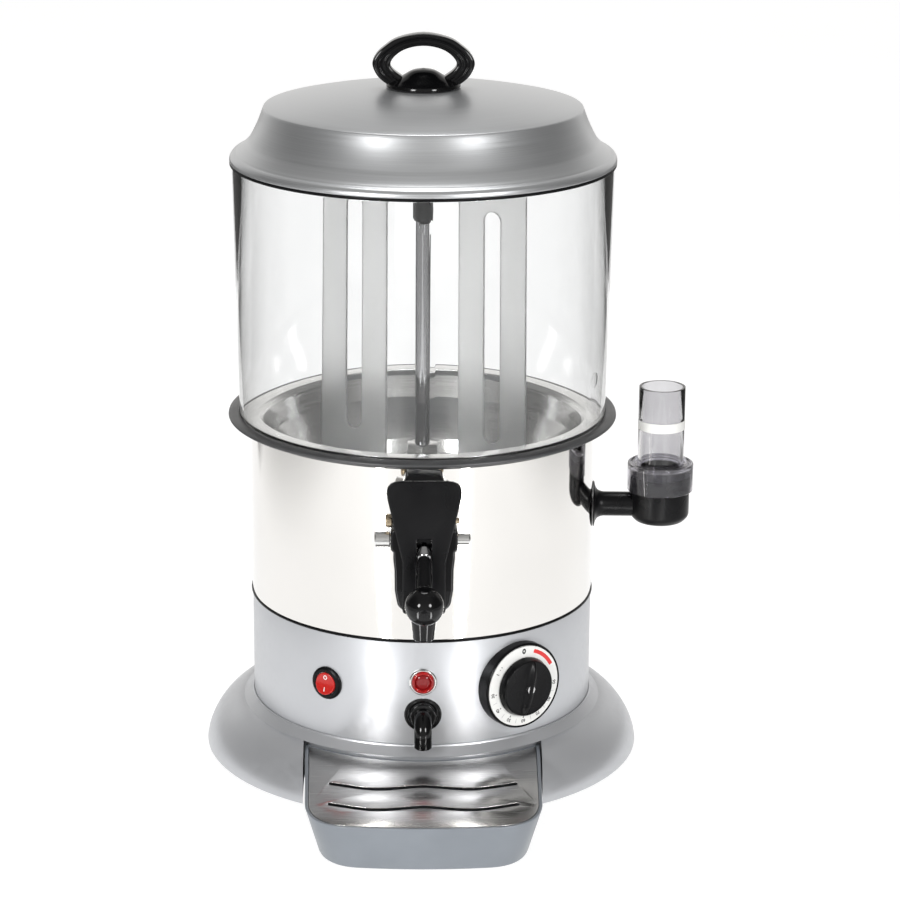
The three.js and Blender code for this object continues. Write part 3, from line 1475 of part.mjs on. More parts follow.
function trayPlan(inset) {
  const half = trayWidth / 2 - inset;
  const front = trayFront - inset;
  const corner = trayCorner - inset;
  const side = front - trayBow - corner;
  const shape = new THREE.Shape();
  shape.moveTo(-half, -bayBack);
  shape.lineTo(-half * traySideShare, -side);
  shape.quadraticCurveTo(-half * trayCornerShare, trayBow - front, corner - half, trayBow / 2 - front);
  shape.quadraticCurveTo(0, -front - trayBow / 2, half - corner, trayBow / 2 - front);
  shape.quadraticCurveTo(half * trayCornerShare, trayBow - front, half * traySideShare, -side);
  shape.lineTo(half, -bayBack);
  return shape;
}

// A solid on the tray's plan whose walls draw in towards the bottom
function trayBlank(inset, bottom, top) {
  const geometry = extrude(trayPlan(inset), top - bottom).translate(0, 0, bottom);
  const place = geometry.attributes.position;
  for (let i = 0; i < place.count; i += 1) {
    const draw = trayTaper * (trayTop - place.getZ(i)) / trayHeight;
    place.setX(i, place.getX(i) * (1 - draw / (trayWidth / 2)));
    place.setY(i, (place.getY(i) + bayBack) * (1 - draw / (trayFront - bayBack)) - bayBack);
  }
  return geometry;
}

function dripTray() {
  const back = rod(trayBackRadius, 3 * trayHeight, bodyTurns).translate(0, 0, -trayHeight);
  const innerBack = rod(trayBackRadius + trayWall, 3 * trayHeight, bodyTurns).translate(0, 0, -trayHeight);
  const ledgeTop = trayTop - grilleRecess;
  const basin = cut(trayBlank(trayWall + grilleLedge, trayBottom + trayWall, trayTop + overrun), innerBack);
  const recess = cut(trayBlank(trayWall, ledgeTop, trayTop + overrun), innerBack);
  return cut(trayBlank(0, trayBottom, trayTop), back, basin, recess);
}

function grilleSlot(place) {
  const middle = grilleSlotLineShares.map(([across, dip]) => (
    new THREE.Vector2(grilleSlotHalfLength * across, -grilleSlotDip * dip)
  ));
  const line = new THREE.SplineCurve(middle).getPoints(grilleSlotSteps);
  const half = grilleSlotWidth / 2;
  const near = line.map((point) => new THREE.Vector2(point.x, point.y - half));
  const far = line.map((point) => new THREE.Vector2(point.x, point.y + half)).reverse();
  const slot = extrude(new THREE.Shape([...near, ...far]), 4 * grilleThickness);
  return slot.translate(0, -place, -2 * grilleThickness);
}

function dripGrille() {
  const under = trayTop - grilleRecess + fit;
  const sheet = trayBlank(trayWall + fit, under, under + grilleThickness);
  const back = rod(trayBackRadius + trayWall + fit, 3 * trayHeight, bodyTurns).translate(0, 0, -trayHeight);
  const slots = grilleSlotPlaces.map((place) => grilleSlot(place).translate(0, 0, under));
  return cut(sheet, back, ...slots);
}

addMesh(body, 'drip_tray', dripTray(), 'grey');
addMesh(body, 'drip_grille', dripGrille(), 'steel');

// The origin is under the middle of the whole machine, on the surface that it stands on
const gaugeSide = gaugeReach + gaugeNutRadius;
body.position.set((skirtRadius - gaugeSide) / 2, (trayFront - skirtRadius) / 2, footHeight);

export default machine;
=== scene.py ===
# %% [markdown]
# This scene dresses a countertop hot chocolate dispenser. The imported CAD model is loaded first and
# acts as a fixed jig: every piece made here is placed by it and moves with one of its bodies.

from math import asin, cos, hypot, pi, radians, sin, sqrt, tan

import bmesh
import bpy
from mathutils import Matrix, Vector


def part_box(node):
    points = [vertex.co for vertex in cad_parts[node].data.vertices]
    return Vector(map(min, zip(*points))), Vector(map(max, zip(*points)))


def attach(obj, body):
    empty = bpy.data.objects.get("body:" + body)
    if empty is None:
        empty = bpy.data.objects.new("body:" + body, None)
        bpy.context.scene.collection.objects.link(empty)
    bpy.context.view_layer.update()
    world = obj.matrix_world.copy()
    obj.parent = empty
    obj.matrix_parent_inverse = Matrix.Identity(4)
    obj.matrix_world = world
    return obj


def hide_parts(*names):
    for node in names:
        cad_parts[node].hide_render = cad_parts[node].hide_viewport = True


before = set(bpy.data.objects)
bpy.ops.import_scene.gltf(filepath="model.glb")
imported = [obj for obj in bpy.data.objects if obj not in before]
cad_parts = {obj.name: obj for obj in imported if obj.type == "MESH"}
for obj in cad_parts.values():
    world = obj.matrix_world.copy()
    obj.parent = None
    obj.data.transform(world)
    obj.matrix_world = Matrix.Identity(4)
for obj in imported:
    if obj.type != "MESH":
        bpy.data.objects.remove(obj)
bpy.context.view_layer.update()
scene = bpy.context.scene

# %% [markdown]
# Nearly everything on this machine is turned around one upright axis. So the pieces are drawn in
# millimetres from that axis and from the skirt's lower edge, and one helper moves them to their
# place in the model. The axis is read from the jar and the skirt, which keeps the drawing in step
# with the frame.

# %% The machine's own axis
jar_low, jar_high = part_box("jar")
skirt_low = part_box("base_skirt")[0]
axis_place = Vector(((jar_low.x + jar_high.x) / 2, (jar_low.y + jar_high.y) / 2, skirt_low.z))
MM = 0.001


def to_model(point, turn=0.0):
    """A point in millimetres on the machine, turned about its axis, in the model's metres."""
    x, y, z = point
    c, s = cos(radians(turn)), sin(radians(turn))
    return axis_place + Vector((x * c - y * s, x * s + y * c, z)) * MM


print("axis at", [round(v, 5) for v in axis_place])

# %% [markdown]
# A real edge is never sharp: a thin bright line runs along every corner of a moulding or a pressed
# sheet, and it does much to make a picture look real. The first helper rounds the corners of a
# drawn line. The second runs a smooth curve through a few measured points, for the flowing forms.

# %% Lines with rounded corners and smooth curves


def softened(points, radius, steps=3, closed=True):
    """The line with each corner replaced by a short arc."""
    count = len(points)
    line = []
    for i, point in enumerate(points):
        size = radius[i] if isinstance(radius, (list, tuple)) else radius
        end = not closed and i in (0, count - 1)
        here = Vector(point)
        before = Vector(points[i - 1]) - here
        after = Vector(points[(i + 1) % count]) - here
        if end or size <= 0 or before.length < 1e-6 or after.length < 1e-6:
            line.append(tuple(here))
            continue
        half = before.angle(after) / 2
        if half > radians(86):
            line.append(tuple(here))
            continue
        reach = min(size / tan(half), 0.48 * before.length, 0.48 * after.length)
        start = here + before.normalized() * reach
        stop = here + after.normalized() * reach
        for k in range(steps + 1):
            t = k / steps
            line.append(tuple(start * (1 - t) ** 2 + here * (2 * t * (1 - t)) + stop * t * t))
    return line


def flowing(points, steps=6, closed=False):
    """A smooth curve through the points."""
    spots = [Vector(point) for point in points]
    count = len(spots)
    line = []
    for i in range(count if closed else count - 1):
        p1, p2 = spots[i], spots[(i + 1) % count]
        p0 = spots[i - 1] if closed or i > 0 else p1 * 2 - p2
        p3 = spots[(i + 2) % count] if closed or i + 2 < count else p2 * 2 - p1
        for k in range(steps):
            t = k / steps
            line.append(tuple(0.5 * (
                p1 * 2 + (p2 - p0) * t + (p0 * 2 - p1 * 5 + p2 * 4 - p3) * t * t
                + (p1 * 3 - p0 - p2 * 3 + p3) * t * t * t
            )))
    if not closed:
        line.append(tuple(spots[-1]))
    return line


print("a square with soft corners has", len(softened([(0, 0), (1, 0), (1, 1), (0, 1)], 0.2)), "points")

# %% [markdown]
# Every piece is a mesh with one finish. Blender can shade a mesh smooth and still keep the corners
# crisp where two faces meet at a wide angle, so one helper makes the mesh, shades it, hangs it on
# the body that it moves with and hides the plain solid that it stands for.

# %% One helper that makes a piece


def shade(piece, sharp=32):
    """Smooth shading, with the edges above an angle kept crisp."""
    piece.data.shade_smooth()
    piece.data.set_sharp_from_angle(angle=radians(sharp))


def mesh_object(name, shape, turn=0.0):
    """An object from points in millimetres on the machine, with all its faces looking outwards."""
    points, faces = shape
    mesh = bpy.data.meshes.new(name)
    mesh.from_pydata([to_model(point, turn) for point in points], [], faces)
    form = bmesh.new()
    form.from_mesh(mesh)
    bmesh.ops.recalc_face_normals(form, faces=form.faces)
    form.to_mesh(mesh)
    form.free()
    piece = bpy.data.objects.new(name, mesh)
    scene.collection.objects.link(piece)
    return piece


def make_piece(name, shape, look, body, stands_for="", turn=0.0, sharp=32):
    """A piece with its finish and its body, in the place of the solid that it stands for."""
    piece = mesh_object(name, shape, turn)
    piece.data.materials.append(look)
    shade(piece, sharp)
    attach(piece, body)
    if stands_for:
        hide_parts(stands_for)
    return piece


print("pieces are placed from", [round(v, 4) for v in to_model((0, 0, 0))])

# %% [markdown]
# Turned pieces come from a profile that is spun round an axis, as on a lathe. A closed profile
# gives a ring or a shell, and one that starts and ends on the axis gives a full body. Straight
# pipes, rods and domes are the same thing with the lathe's axis lying down, so the spin takes a
# small rule that says where its axis points.

# %% Spinning a profile


def upright(x, y, z):
    return x, y, z


def forward(x, y, z):
    """The spin's axis points out of the front of the machine."""
    return x, -z, y


def across(x, y, z):
    """The spin's axis lies from left to right."""
    return z, y, x


def spun(profile, steps=128, closed=True, lie=upright, centre=(0, 0, 0)):
    """The points and faces of a profile of (radius, height) that turns round an axis."""
    points, rings = [], []
    for radius, height in profile:
        ring = []
        for k in range(1 if radius < 1e-5 else steps):
            angle = 2 * pi * k / steps
            x, y, z = lie(radius * cos(angle), radius * sin(angle), height)
            ring.append(len(points))
            points.append((x + centre[0], y + centre[1], z + centre[2]))
        rings.append(ring)
    faces = []
    for i in range(len(rings) if closed else len(rings) - 1):
        low, high = rings[i], rings[(i + 1) % len(rings)]
        for k in range(steps):
            n = (k + 1) % steps
            if len(low) > 1 and len(high) > 1:
                faces.append((low[k], low[n], high[n], high[k]))
            elif len(high) > 1:
                faces.append((low[0], high[n], high[k]))
            elif len(low) > 1:
                faces.append((low[k], low[n], high[0]))
    return points, faces


def turned(line, soft, sides, lie=upright, centre=(0, 0, 0), arcs=3, closed=True):
    """A lathe profile with soft corners, spun round its axis."""
    return spun(softened(line, soft, arcs, closed), sides, closed, lie, centre)


print("a tube in 8 steps has", len(turned([(4, 0), (5, 0), (5, 9), (4, 9)], 0.2, 8)[1]), "faces")

# %% [markdown]
# Bars, bends and the handle aren't turned: their section travels along a line and changes on the
# way. A skin is stretched over the sections in turn, and the two ends are closed if the form is a
# bar and joined if it is a loop.

# %% Skins over a row of sections


def skinned(sections, loop=False):
    """The points and faces of a skin over closed sections that all have the same number of points."""
    count = len(sections[0])
    points = [point for section in sections for point in section]
    faces = []
    for i in range(len(sections) if loop else len(sections) - 1):
        a, b = i * count, (i + 1) % len(sections) * count
        for k in range(count):
            n = (k + 1) % count
            faces.append((a + k, a + n, b + n, b + k))
    if not loop:
        faces.append(tuple(reversed(range(count))))
        faces.append(tuple(range(len(points) - count, len(points))))
    return points, faces


def joined(*shapes):
    """Several shapes as one list of points and faces."""
    points, faces = [], []
    for more_points, more_faces in shapes:
        start = len(points)
        points += list(more_points)
        faces += [tuple(start + i for i in face) for face in more_faces]
    return points, faces


def round_section(radius, sides=20):
    return [(radius * cos(2 * pi * k / sides), radius * sin(2 * pi * k / sides)) for k in range(sides)]


def along(path, section, sizes=None):
    """Sections set square to a path of points, with a size for each point."""
    spots = [Vector(point) for point in path]
    up = Vector((1, 0, 0))
    rows = []
    for i, spot in enumerate(spots):
        ahead = (spots[min(i + 1, len(spots) - 1)] - spots[max(i - 1, 0)]).normalized()
        side = (up - ahead * up.dot(ahead)).normalized()
        top = ahead.cross(side)
        size = sizes[i] if sizes else 1.0
        rows.append([tuple(spot + side * (x * size) + top * (y * size)) for x, y in section])
    return rows


rod = skinned(along([(0, 0, 0), (0, 0, 5), (0, 0, 10)], round_section(2, 8)))
print("a rod over three sections has", len(rod[1]), "faces")

# %% [markdown]
# Openings are cut with Blender's Boolean, as a drill or a mill would. The cut is applied at once
# and the cutters are thrown away, so the piece that stays is a plain mesh.

# %% Cutting openings


def block(low, high):
    """The points and faces of a box between two corners."""
    points = [(x, y, z) for x in (low[0], high[0]) for y in (low[1], high[1]) for z in (low[2], high[2])]
    faces = [(0, 1, 3, 2), (4, 6, 7, 5), (0, 4, 5, 1), (2, 3, 7, 6), (0, 2, 6, 4), (1, 5, 7, 3)]
    return points, faces


def carve(piece, shapes, turn=0.0, how="DIFFERENCE", sharp=32):
    """Cuts the shapes out of a piece, or joins them to it, and applies the result."""
    tools = [mesh_object("cutter", shape, turn) for shape in shapes]
    for tool in tools:
        step = piece.modifiers.new("carve", "BOOLEAN")
        step.operation = how
        step.solver = "EXACT"
        step.object = tool
    graph = bpy.context.evaluated_depsgraph_get()
    mesh = bpy.data.meshes.new_from_object(piece.evaluated_get(graph))
    piece.modifiers.clear()
    old = piece.data
    piece.data = mesh
    bpy.data.meshes.remove(old)
    for tool in tools:
        used = tool.data
        bpy.data.objects.remove(tool)
        bpy.data.meshes.remove(used)
    shade(piece, sharp)


print("a block has", len(block((0, 0, 0), (1, 1, 1))[1]), "faces")

# %% [markdown]
# Flat plates with slots, such as the stirrer's blades, are easiest as filled 2D curves: an outline,
# its holes, a thickness and a small bevel on every edge. The curve is turned into a mesh and stood
# up or laid down where it belongs.

# %% Plates from outlines


def flat_form(curve, lift, merge=False):
    """The points and faces of a filled curve. The curve itself is thrown away."""
    holder = bpy.data.objects.new(curve.name, curve)
    scene.collection.objects.link(holder)
    graph = bpy.context.evaluated_depsgraph_get()
    mesh = bpy.data.meshes.new_from_object(holder.evaluated_get(graph))
    if merge:
        form = bmesh.new()
        form.from_mesh(mesh)
        bmesh.ops.remove_doubles(form, verts=form.verts, dist=1e-4)
        form.to_mesh(mesh)
        form.free()
    points = [(v.co.x, v.co.y, v.co.z + lift) for v in mesh.vertices]
    faces = [tuple(face.vertices) for face in mesh.polygons]
    bpy.data.objects.remove(holder)
    bpy.data.curves.remove(curve)
    bpy.data.meshes.remove(mesh)
    return points, faces


def plate(outlines, thickness, bevel, steps=2):
    """The points and faces of a flat plate, its thickness from 0 upwards, with soft edges."""
    curve = bpy.data.curves.new("plate", "CURVE")
    curve.dimensions = "2D"
    curve.fill_mode = "BOTH"
    curve.extrude = thickness / 2 - bevel
    curve.bevel_depth = bevel
    curve.bevel_resolution = steps
    curve.offset = -bevel
    for outline in outlines:
        line = curve.splines.new("POLY")
        line.points.add(len(outline) - 1)
        for spot, (x, y) in zip(line.points, outline):
            spot.co = (x, y, 0, 1)
        line.use_cyclic_u = True
    return flat_form(curve, thickness / 2, merge=True)


def moved(shape, by=(0, 0, 0), lie=upright):
    """A shape laid another way and moved."""
    points, faces = shape
    laid = [lie(*point) for point in points]
    return [(x + by[0], y + by[1], z + by[2]) for x, y, z in laid], faces


def box_outline(width, height, radius, steps=4):
    x, y = width / 2, height / 2
    return softened([(-x, -y), (x, -y), (x, y), (-x, y)], radius, steps)


print("helpers ready")

# %% [markdown]
# A finish is a small tree of nodes around one shader. Real surfaces are never quite even, so each
# one gets three gentle variations: in its colour, in how sharply it mirrors, and in its relief.
# Noise in the piece's own coordinates makes all three, so nothing slides when the camera moves.

# %% Helpers that build a finish


def new_finish(name, slot_name, metallic, roughness, color, specular=0.5, ior=1.5):
    """A material with its shader set up, marked with the material slot that it stands for."""
    look = bpy.data.materials.new(name)
    look.use_nodes = True
    look["slot"] = slot_name
    shader = look.node_tree.nodes["Principled BSDF"]
    shader.inputs["Metallic"].default_value = metallic
    shader.inputs["Roughness"].default_value = roughness
    shader.inputs["Base Color"].default_value = (*color, 1)
    shader.inputs["Specular IOR Level"].default_value = specular
    shader.inputs["IOR"].default_value = ior
    look.diffuse_color = (*color, 1)
    return look


def add_node(look, kind, inputs=(), **settings):
    """Adds a node and fills in its settings and its plain inputs."""
    node = look.node_tree.nodes.new(kind)
    for key, value in settings.items():
        setattr(node, key, value)
    for key, value in dict(inputs).items():
        node.inputs[key].default_value = value
    return node


def wire(look, source, target):
    look.node_tree.links.new(source, target)


def own_coordinates(look, stretch=(1, 1, 1)):
    """Coordinates that stay with the piece, stretched along its axes."""
    place = add_node(look, "ShaderNodeTexCoord")
    mapping = add_node(look, "ShaderNodeMapping", {"Scale": stretch})
    wire(look, place.outputs["Object"], mapping.inputs["Vector"])
    return mapping.outputs["Vector"]


def worked_out(look, kind, first, second=None, third=None, clamp=False):
    """The result of one sum of two or three values, each a socket or a number."""
    node = add_node(look, "ShaderNodeMath", operation=kind, use_clamp=clamp)
    for place, value in enumerate((first, second, third)):
        if isinstance(value, (int, float)):
            node.inputs[place].default_value = value
        elif value is not None:
            wire(look, value, node.inputs[place])
    return node.outputs[0]


def lathe_coordinates(look, around=1.0, outwards=1.0, upwards=1.0):
    """Coordinates for turned pieces: the turn about the axis, the radius and the height."""
    place = add_node(look, "ShaderNodeTexCoord")
    shift = add_node(look, "ShaderNodeMapping", {"Location": -axis_place})
    split = add_node(look, "ShaderNodeSeparateXYZ")
    wire(look, place.outputs["Object"], shift.inputs["Vector"])
    wire(look, shift.outputs["Vector"], split.inputs["Vector"])
    x, y, height = split.outputs
    angle = worked_out(look, "ARCTAN2", y, x)
    squares = [worked_out(look, "MULTIPLY", side, side) for side in (x, y)]
    radius = worked_out(look, "SQRT", worked_out(look, "ADD", *squares))
    joint = add_node(look, "ShaderNodeCombineXYZ")
    for measure, factor, target in zip((angle, radius, height), (around, outwards, upwards), joint.inputs):
        wire(look, worked_out(look, "MULTIPLY", measure, factor), target)
    return joint.outputs["Vector"]


def noise(look, vector, scale, detail=2.0):
    node = add_node(look, "ShaderNodeTexNoise", {"Scale": scale, "Detail": detail})
    wire(look, vector, node.inputs["Vector"])
    return node.outputs["Fac"]


def vary_color(look, fac, low, high):
    """The colour drifts between two tones."""
    ramp = add_node(look, "ShaderNodeValToRGB")
    for stop, place, tone in zip(ramp.color_ramp.elements, (0.3, 0.7), (low, high)):
        stop.position = place
        stop.color = (*tone, 1)
    wire(look, fac, ramp.inputs["Fac"])
    wire(look, ramp.outputs["Color"], look.node_tree.nodes["Principled BSDF"].inputs["Base Color"])


def vary_roughness(look, fac, low, high):
    limits = {"From Min": 0.3, "From Max": 0.7, "To Min": low, "To Max": high}
    spread = add_node(look, "ShaderNodeMapRange", limits)
    wire(look, fac, spread.inputs["Value"])
    wire(look, spread.outputs["Result"], look.node_tree.nodes["Principled BSDF"].inputs["Roughness"])


def add_relief(look, fac, strength, depth):
    """A fine relief, with its depth in millimetres."""
    bump = add_node(look, "ShaderNodeBump", {"Strength": strength, "Distance": depth * MM})
    wire(look, fac, bump.inputs["Height"])
    wire(look, bump.outputs["Normal"], look.node_tree.nodes["Principled BSDF"].inputs["Normal"])
    return look


print("finish helpers ready")

# %% [markdown]
# The skirt and the lower housing are sprayed with a light silver lacquer. Under a lamp it shows a
# soft, wide highlight and a very fine sparkle, so the finish is half metallic, fairly rough, and
# has a relief of grains about a third of a millimetre across.

# %% Silver lacquer
silver_lacquer = new_finish("silver_lacquer", "paint", 0.6, 0.32, (0.52, 0.53, 0.55))
lacquer_places = own_coordinates(silver_lacquer)
patches = noise(silver_lacquer, lacquer_places, 14)
vary_color(silver_lacquer, patches, (0.5, 0.51, 0.53), (0.54, 0.55, 0.57))
vary_roughness(silver_lacquer, noise(silver_lacquer, lacquer_places, 260), 0.3, 0.38)
add_relief(silver_lacquer, noise(silver_lacquer, lacquer_places, 3000), 0.06, 0.05)
print(silver_lacquer.name, "fills slot", silver_lacquer["slot"])

# %% [markdown]
# The tank's band is polished until it mirrors the room. A perfect mirror looks like glass, though:
# thin rolled sheet has long shallow waves and hairlines that run around it, and they bend the
# reflections a little. The waves are a relief of low noise, and the hairlines a noise that is
# squeezed along the height.

# %% Mirror polished steel
mirror_steel = new_finish("mirror_steel", "polished", 1.0, 0.05, (0.78, 0.765, 0.74))
patches = noise(mirror_steel, own_coordinates(mirror_steel), 9)
hairlines = noise(mirror_steel, lathe_coordinates(mirror_steel, 2, 0, 4000), 1.0)
waves = noise(mirror_steel, lathe_coordinates(mirror_steel, 1.2, 0, 9), 2.2, 1.0)
vary_color(mirror_steel, patches, (0.78, 0.765, 0.74), (0.82, 0.805, 0.78))
vary_roughness(mirror_steel, hairlines, 0.03, 0.075)
add_relief(mirror_steel, waves, 0.12, 0.7)
print(mirror_steel.name, "fills slot", mirror_steel["slot"])

# %% [markdown]
# The pot, the pins, the tube and the grille are bright drawn steel. It still mirrors, but softly,
# with fine lines where the tool went round or the sheet was rolled. Two of the tones are painted
# light: the turned steel is made lighter to paint brighter reflections, and the tube's steel is made
# darker to paint darker reflections.

# %% Bright steel, turned and drawn


def scaled(color, factor):
    return tuple(min(1, v * factor) for v in color)


def bright_steel(name, stretch, low, high, tone=(0.62, 0.62, 0.62), slot_name="steel"):
    """Bright metal with fine lines, which run round the axis where no stretch is given."""
    look = new_finish(name, slot_name, 1.0, (low + high) / 2, tone)
    places = own_coordinates(look, stretch) if stretch else lathe_coordinates(look, 2, 3000, 3000)
    lines = noise(look, places, 1.0, 3.0)
    vary_color(look, lines, scaled(tone, 0.92), scaled(tone, 1.06))
    vary_roughness(look, lines, low, high)
    return add_relief(look, lines, 0.12, 0.03)


# The turned steel's tone is raised above the other steels: painted brighter reflections on the pot, pins and
# lamp ring.
turned_steel_painted_bright = bright_steel("turned_steel_painted_bright", None, 0.12, 0.22, (0.8, 0.8, 0.79))
drawn_steel = bright_steel("drawn_steel", (60, 2500, 2500), 0.14, 0.26)
grille_steel = bright_steel("grille_steel", (40, 2500, 2500), 0.2, 0.28, (0.62, 0.61, 0.6), "polished")
zinc_plate = bright_steel("zinc_plate", (120, 120, 120), 0.3, 0.48, (0.5, 0.51, 0.52), "zinc")
turned_brass = bright_steel("turned_brass", (300, 2000, 2000), 0.2, 0.32, (0.5, 0.41, 0.29), "brass")
# The tube's steel has a lowered tone: painted darker reflections on the centre tube and the lever collar.
tube_steel_painted_dark = bright_steel("tube_steel_painted_dark", (60, 60, 2500), 0.08, 0.14, (0.5, 0.5, 0.51))
print("bright metals from", turned_steel_painted_bright.name, "to", tube_steel_painted_dark.name)

# %% [markdown]
# The lid is spun from sheet and left satin. The spinning tool leaves very fine rings, so its
# roughness and relief follow the radius, with almost no change around the axis.

# %% Satin spun metal
satin_spun = new_finish("satin_spun", "satin", 0.85, 0.34, (0.5, 0.51, 0.52))
satin_rings = noise(satin_spun, lathe_coordinates(satin_spun, 1.5, 2600, 2600), 1.0, 3.0)
vary_color(satin_spun, satin_rings, (0.48, 0.49, 0.5), (0.54, 0.55, 0.56))
vary_roughness(satin_spun, satin_rings, 0.29, 0.38)
add_relief(satin_spun, satin_rings, 0.1, 0.03)
print(satin_spun.name, "fills slot", satin_spun["slot"])

# %% [markdown]
# Tap, gauge cup, knobs and bezels are glossy black mouldings. The mould is polished but not
# perfectly: a trace of orange peel breaks the edges of the highlights, and fingers leave patches
# that are a little duller.

# %% Moulded plastics


def moulding(name, slot_name, color, low, high, grain=900, depth=0.03, spread=0.12, specular=0.5):
    look = new_finish(name, slot_name, 0.0, (low + high) / 2, color, specular)
    patches = noise(look, own_coordinates(look), 45)
    vary_color(look, patches, scaled(color, 1 - spread), scaled(color, 1 + spread))
    vary_roughness(look, patches, low, high)
    return add_relief(look, noise(look, own_coordinates(look), grain), 0.12, depth)


black_gloss = moulding("black_gloss", "black", (0.003, 0.003, 0.0034), 0.07, 0.12, depth=0.01, specular=0.3)
black_satin = moulding("black_satin", "black", (0.004, 0.004, 0.0045), 0.24, 0.34, specular=0.16)
dial_white = moulding("dial_white", "white", (0.82, 0.82, 0.8), 0.28, 0.4, spread=0.03)
tray_grey = moulding("tray_grey", "grey", (0.2, 0.22, 0.245), 0.3, 0.4, 1400, 0.02, 0.04)
white_moulding = moulding("white_moulding", "white", (0.78, 0.78, 0.76), 0.3, 0.42, spread=0.04)
ink_black = moulding("ink_black", "black", (0.02, 0.02, 0.022), 0.4, 0.55)
ink_red = moulding("ink_red", "red", (0.75, 0.03, 0.03), 0.35, 0.5)
ink_grey = moulding("ink_grey", "grey", (0.3, 0.3, 0.32), 0.4, 0.55)
ink_white = moulding("ink_white", "white", (0.85, 0.85, 0.85), 0.35, 0.5, spread=0.03)
terminal_white = moulding("terminal_white", "white", (0.62, 0.62, 0.6), 0.4, 0.5, spread=0.05)
print("mouldings from", black_gloss.name, "to", terminal_white.name)

# %% [markdown]
# Rubber is dark, matt and slightly dusty, with a fine grain from its mould.

# %% Rubber
grey_rubber = moulding("grey_rubber", "rubber", (0.06, 0.061, 0.063), 0.32, 0.46, 1500, 0.06, 0.25)
print(grey_rubber.name, "fills slot", grey_rubber["slot"])

# %% [markdown]
# The jar, the gauge tube and the ring nut let light through. Each is a closed wall, so the light
# bends at its outer and at its inner side as it does in the real moulding. The clear ones are
# almost colourless and the nut is a smoky grey. The stirrer and the red lens scatter the light,
# which a higher roughness gives.

# %% Clear, smoky and frosted mouldings


def see_through(name, slot_name, color, low, high, share, scale=60, ior=1.49):
    look = new_finish(name, slot_name, 0.0, (low + high) / 2, color, ior=ior)
    look.node_tree.nodes["Principled BSDF"].inputs["Transmission Weight"].default_value = share
    wear = noise(look, own_coordinates(look), scale)
    vary_color(look, wear, scaled(color, 0.985), color)
    vary_roughness(look, wear, low, high)
    return look


clear_jar = see_through("clear_jar", "clear", (0.99, 0.994, 0.995), 0.0, 0.012, 1.0)
clear_tube = see_through("clear_tube", "clear", (0.735, 0.73, 0.745), 0.0, 0.02, 1.0)
smoky_nut = see_through("smoky_nut", "smoke", (0.56, 0.55, 0.6), 0.02, 0.06, 0.97)
frosted_blade = see_through("frosted_blade", "frosted", (0.95, 0.955, 0.95), 0.42, 0.46, 0.82)
red_lens = see_through("red_lens", "red", (0.8, 0.03, 0.03), 0.03, 0.08, 0.7)
# A darker, less clear copy of the red lens: painted shade of the hollow behind the pilot lamp's dome.
red_lens_painted_shade = see_through("red_lens_painted_shade", "red", (0.3, 0.01, 0.012), 0.03, 0.08, 0.3)
red_rocker = see_through("red_rocker", "red", (0.7, 0.025, 0.02), 0.12, 0.22, 0.35)
print(len(bpy.data.materials), "finishes")

# %% [markdown]
# The skirt is a pressed and lacquered shell: it flares from the collar to a rounded rim, and a bay
# is cut in its front for the drip tray. It could be a surface of revolution with the bay hidden by
# the tray, but the tray pulls out, so the shell has its real thickness and the bay is really cut.
# The flare is a curve that starts upright under the collar and ends steep at the counter.

# %% Skirt and collar
SKIRT_RADIUS, SKIRT_HEIGHT, SKIRT_WALL = 152.1, 33.0, 2.6
COLLAR_RADIUS, SEAT = 125.6, 38.3
TRAY_HALF, BAY_BACK, BAY_WALL = 81.0, 89.3, 120.6


def flare(inset, height, steps=22):
    line = []
    for k in range(steps + 1):
        rise = 1 - (1 - k / steps) ** 2
        turn = 1 - (1 - rise ** 1.6) ** 0.6
        line.append((SKIRT_RADIUS - inset - (SKIRT_RADIUS - COLLAR_RADIUS) * turn, height * rise))
    return line


def skirt_profile():
    outer = flare(0, SKIRT_HEIGHT)
    rim = softened([(SKIRT_RADIUS - SKIRT_WALL, 0), outer[0], outer[1]], 1.1, closed=False)[1:-1]
    step = [(119.9, SEAT - 0.3), (119.4, SEAT + 0.9), (118.6, SEAT + 0.9), (118.6, SEAT), (110, SEAT)]
    collar = softened([outer[-2], outer[-1]] + step, 0.5, closed=False)[1:]
    inner = list(reversed(flare(SKIRT_WALL, SKIRT_HEIGHT - SKIRT_WALL, 14)))
    return rim + outer[2:-1] + collar + [(110, SEAT - SKIRT_WALL)] + inner


skirt = make_piece("skirt_shell", spun(skirt_profile(), 192), silver_lacquer, "machine", "base_skirt")
carve(skirt, [block((-TRAY_HALF, -160, -2), (TRAY_HALF, -BAY_BACK, SKIRT_HEIGHT))])
wall_profile = [(BAY_WALL - SKIRT_WALL, 4.8), (BAY_WALL, 4.8), (BAY_WALL, 37), (BAY_WALL - SKIRT_WALL, 37)]
bay_wall = make_piece("skirt_bay_wall", spun(wall_profile, 192), silver_lacquer, "machine")
carve(bay_wall, [block((-TRAY_HALF, -125, 0), (TRAY_HALF, -BAY_BACK, 40))], how="INTERSECT")
print("skirt faces", len(skirt.data.polygons))

# %% [markdown]
# The lower housing is a plain lacquered can. A thin black bead lies on its top edge, under the
# polished band: it is a dark part put there to paint the shade in the gap under the band, and as a
# bead it has its own highlight. On its back the housing has the ventilation louvres, cut through the wall.

# %% Lower housing
housing_line = [
    (118.5, 38.6), (118.5, 112.3), (98, 112.3), (98, 110.8), (117, 110.8), (117, 40.1), (110.5, 40.1),
    (110.5, 38.6)]
housing_shape = turned(housing_line, 0.45, 192)
housing = make_piece("housing_shell", housing_shape, silver_lacquer, "machine", "lower_housing")
louvre_heights = (70, 77, 84, 91, 98)
carve(housing, [block((-17, 100, z), (17, 130, z + 3)) for z in louvre_heights])
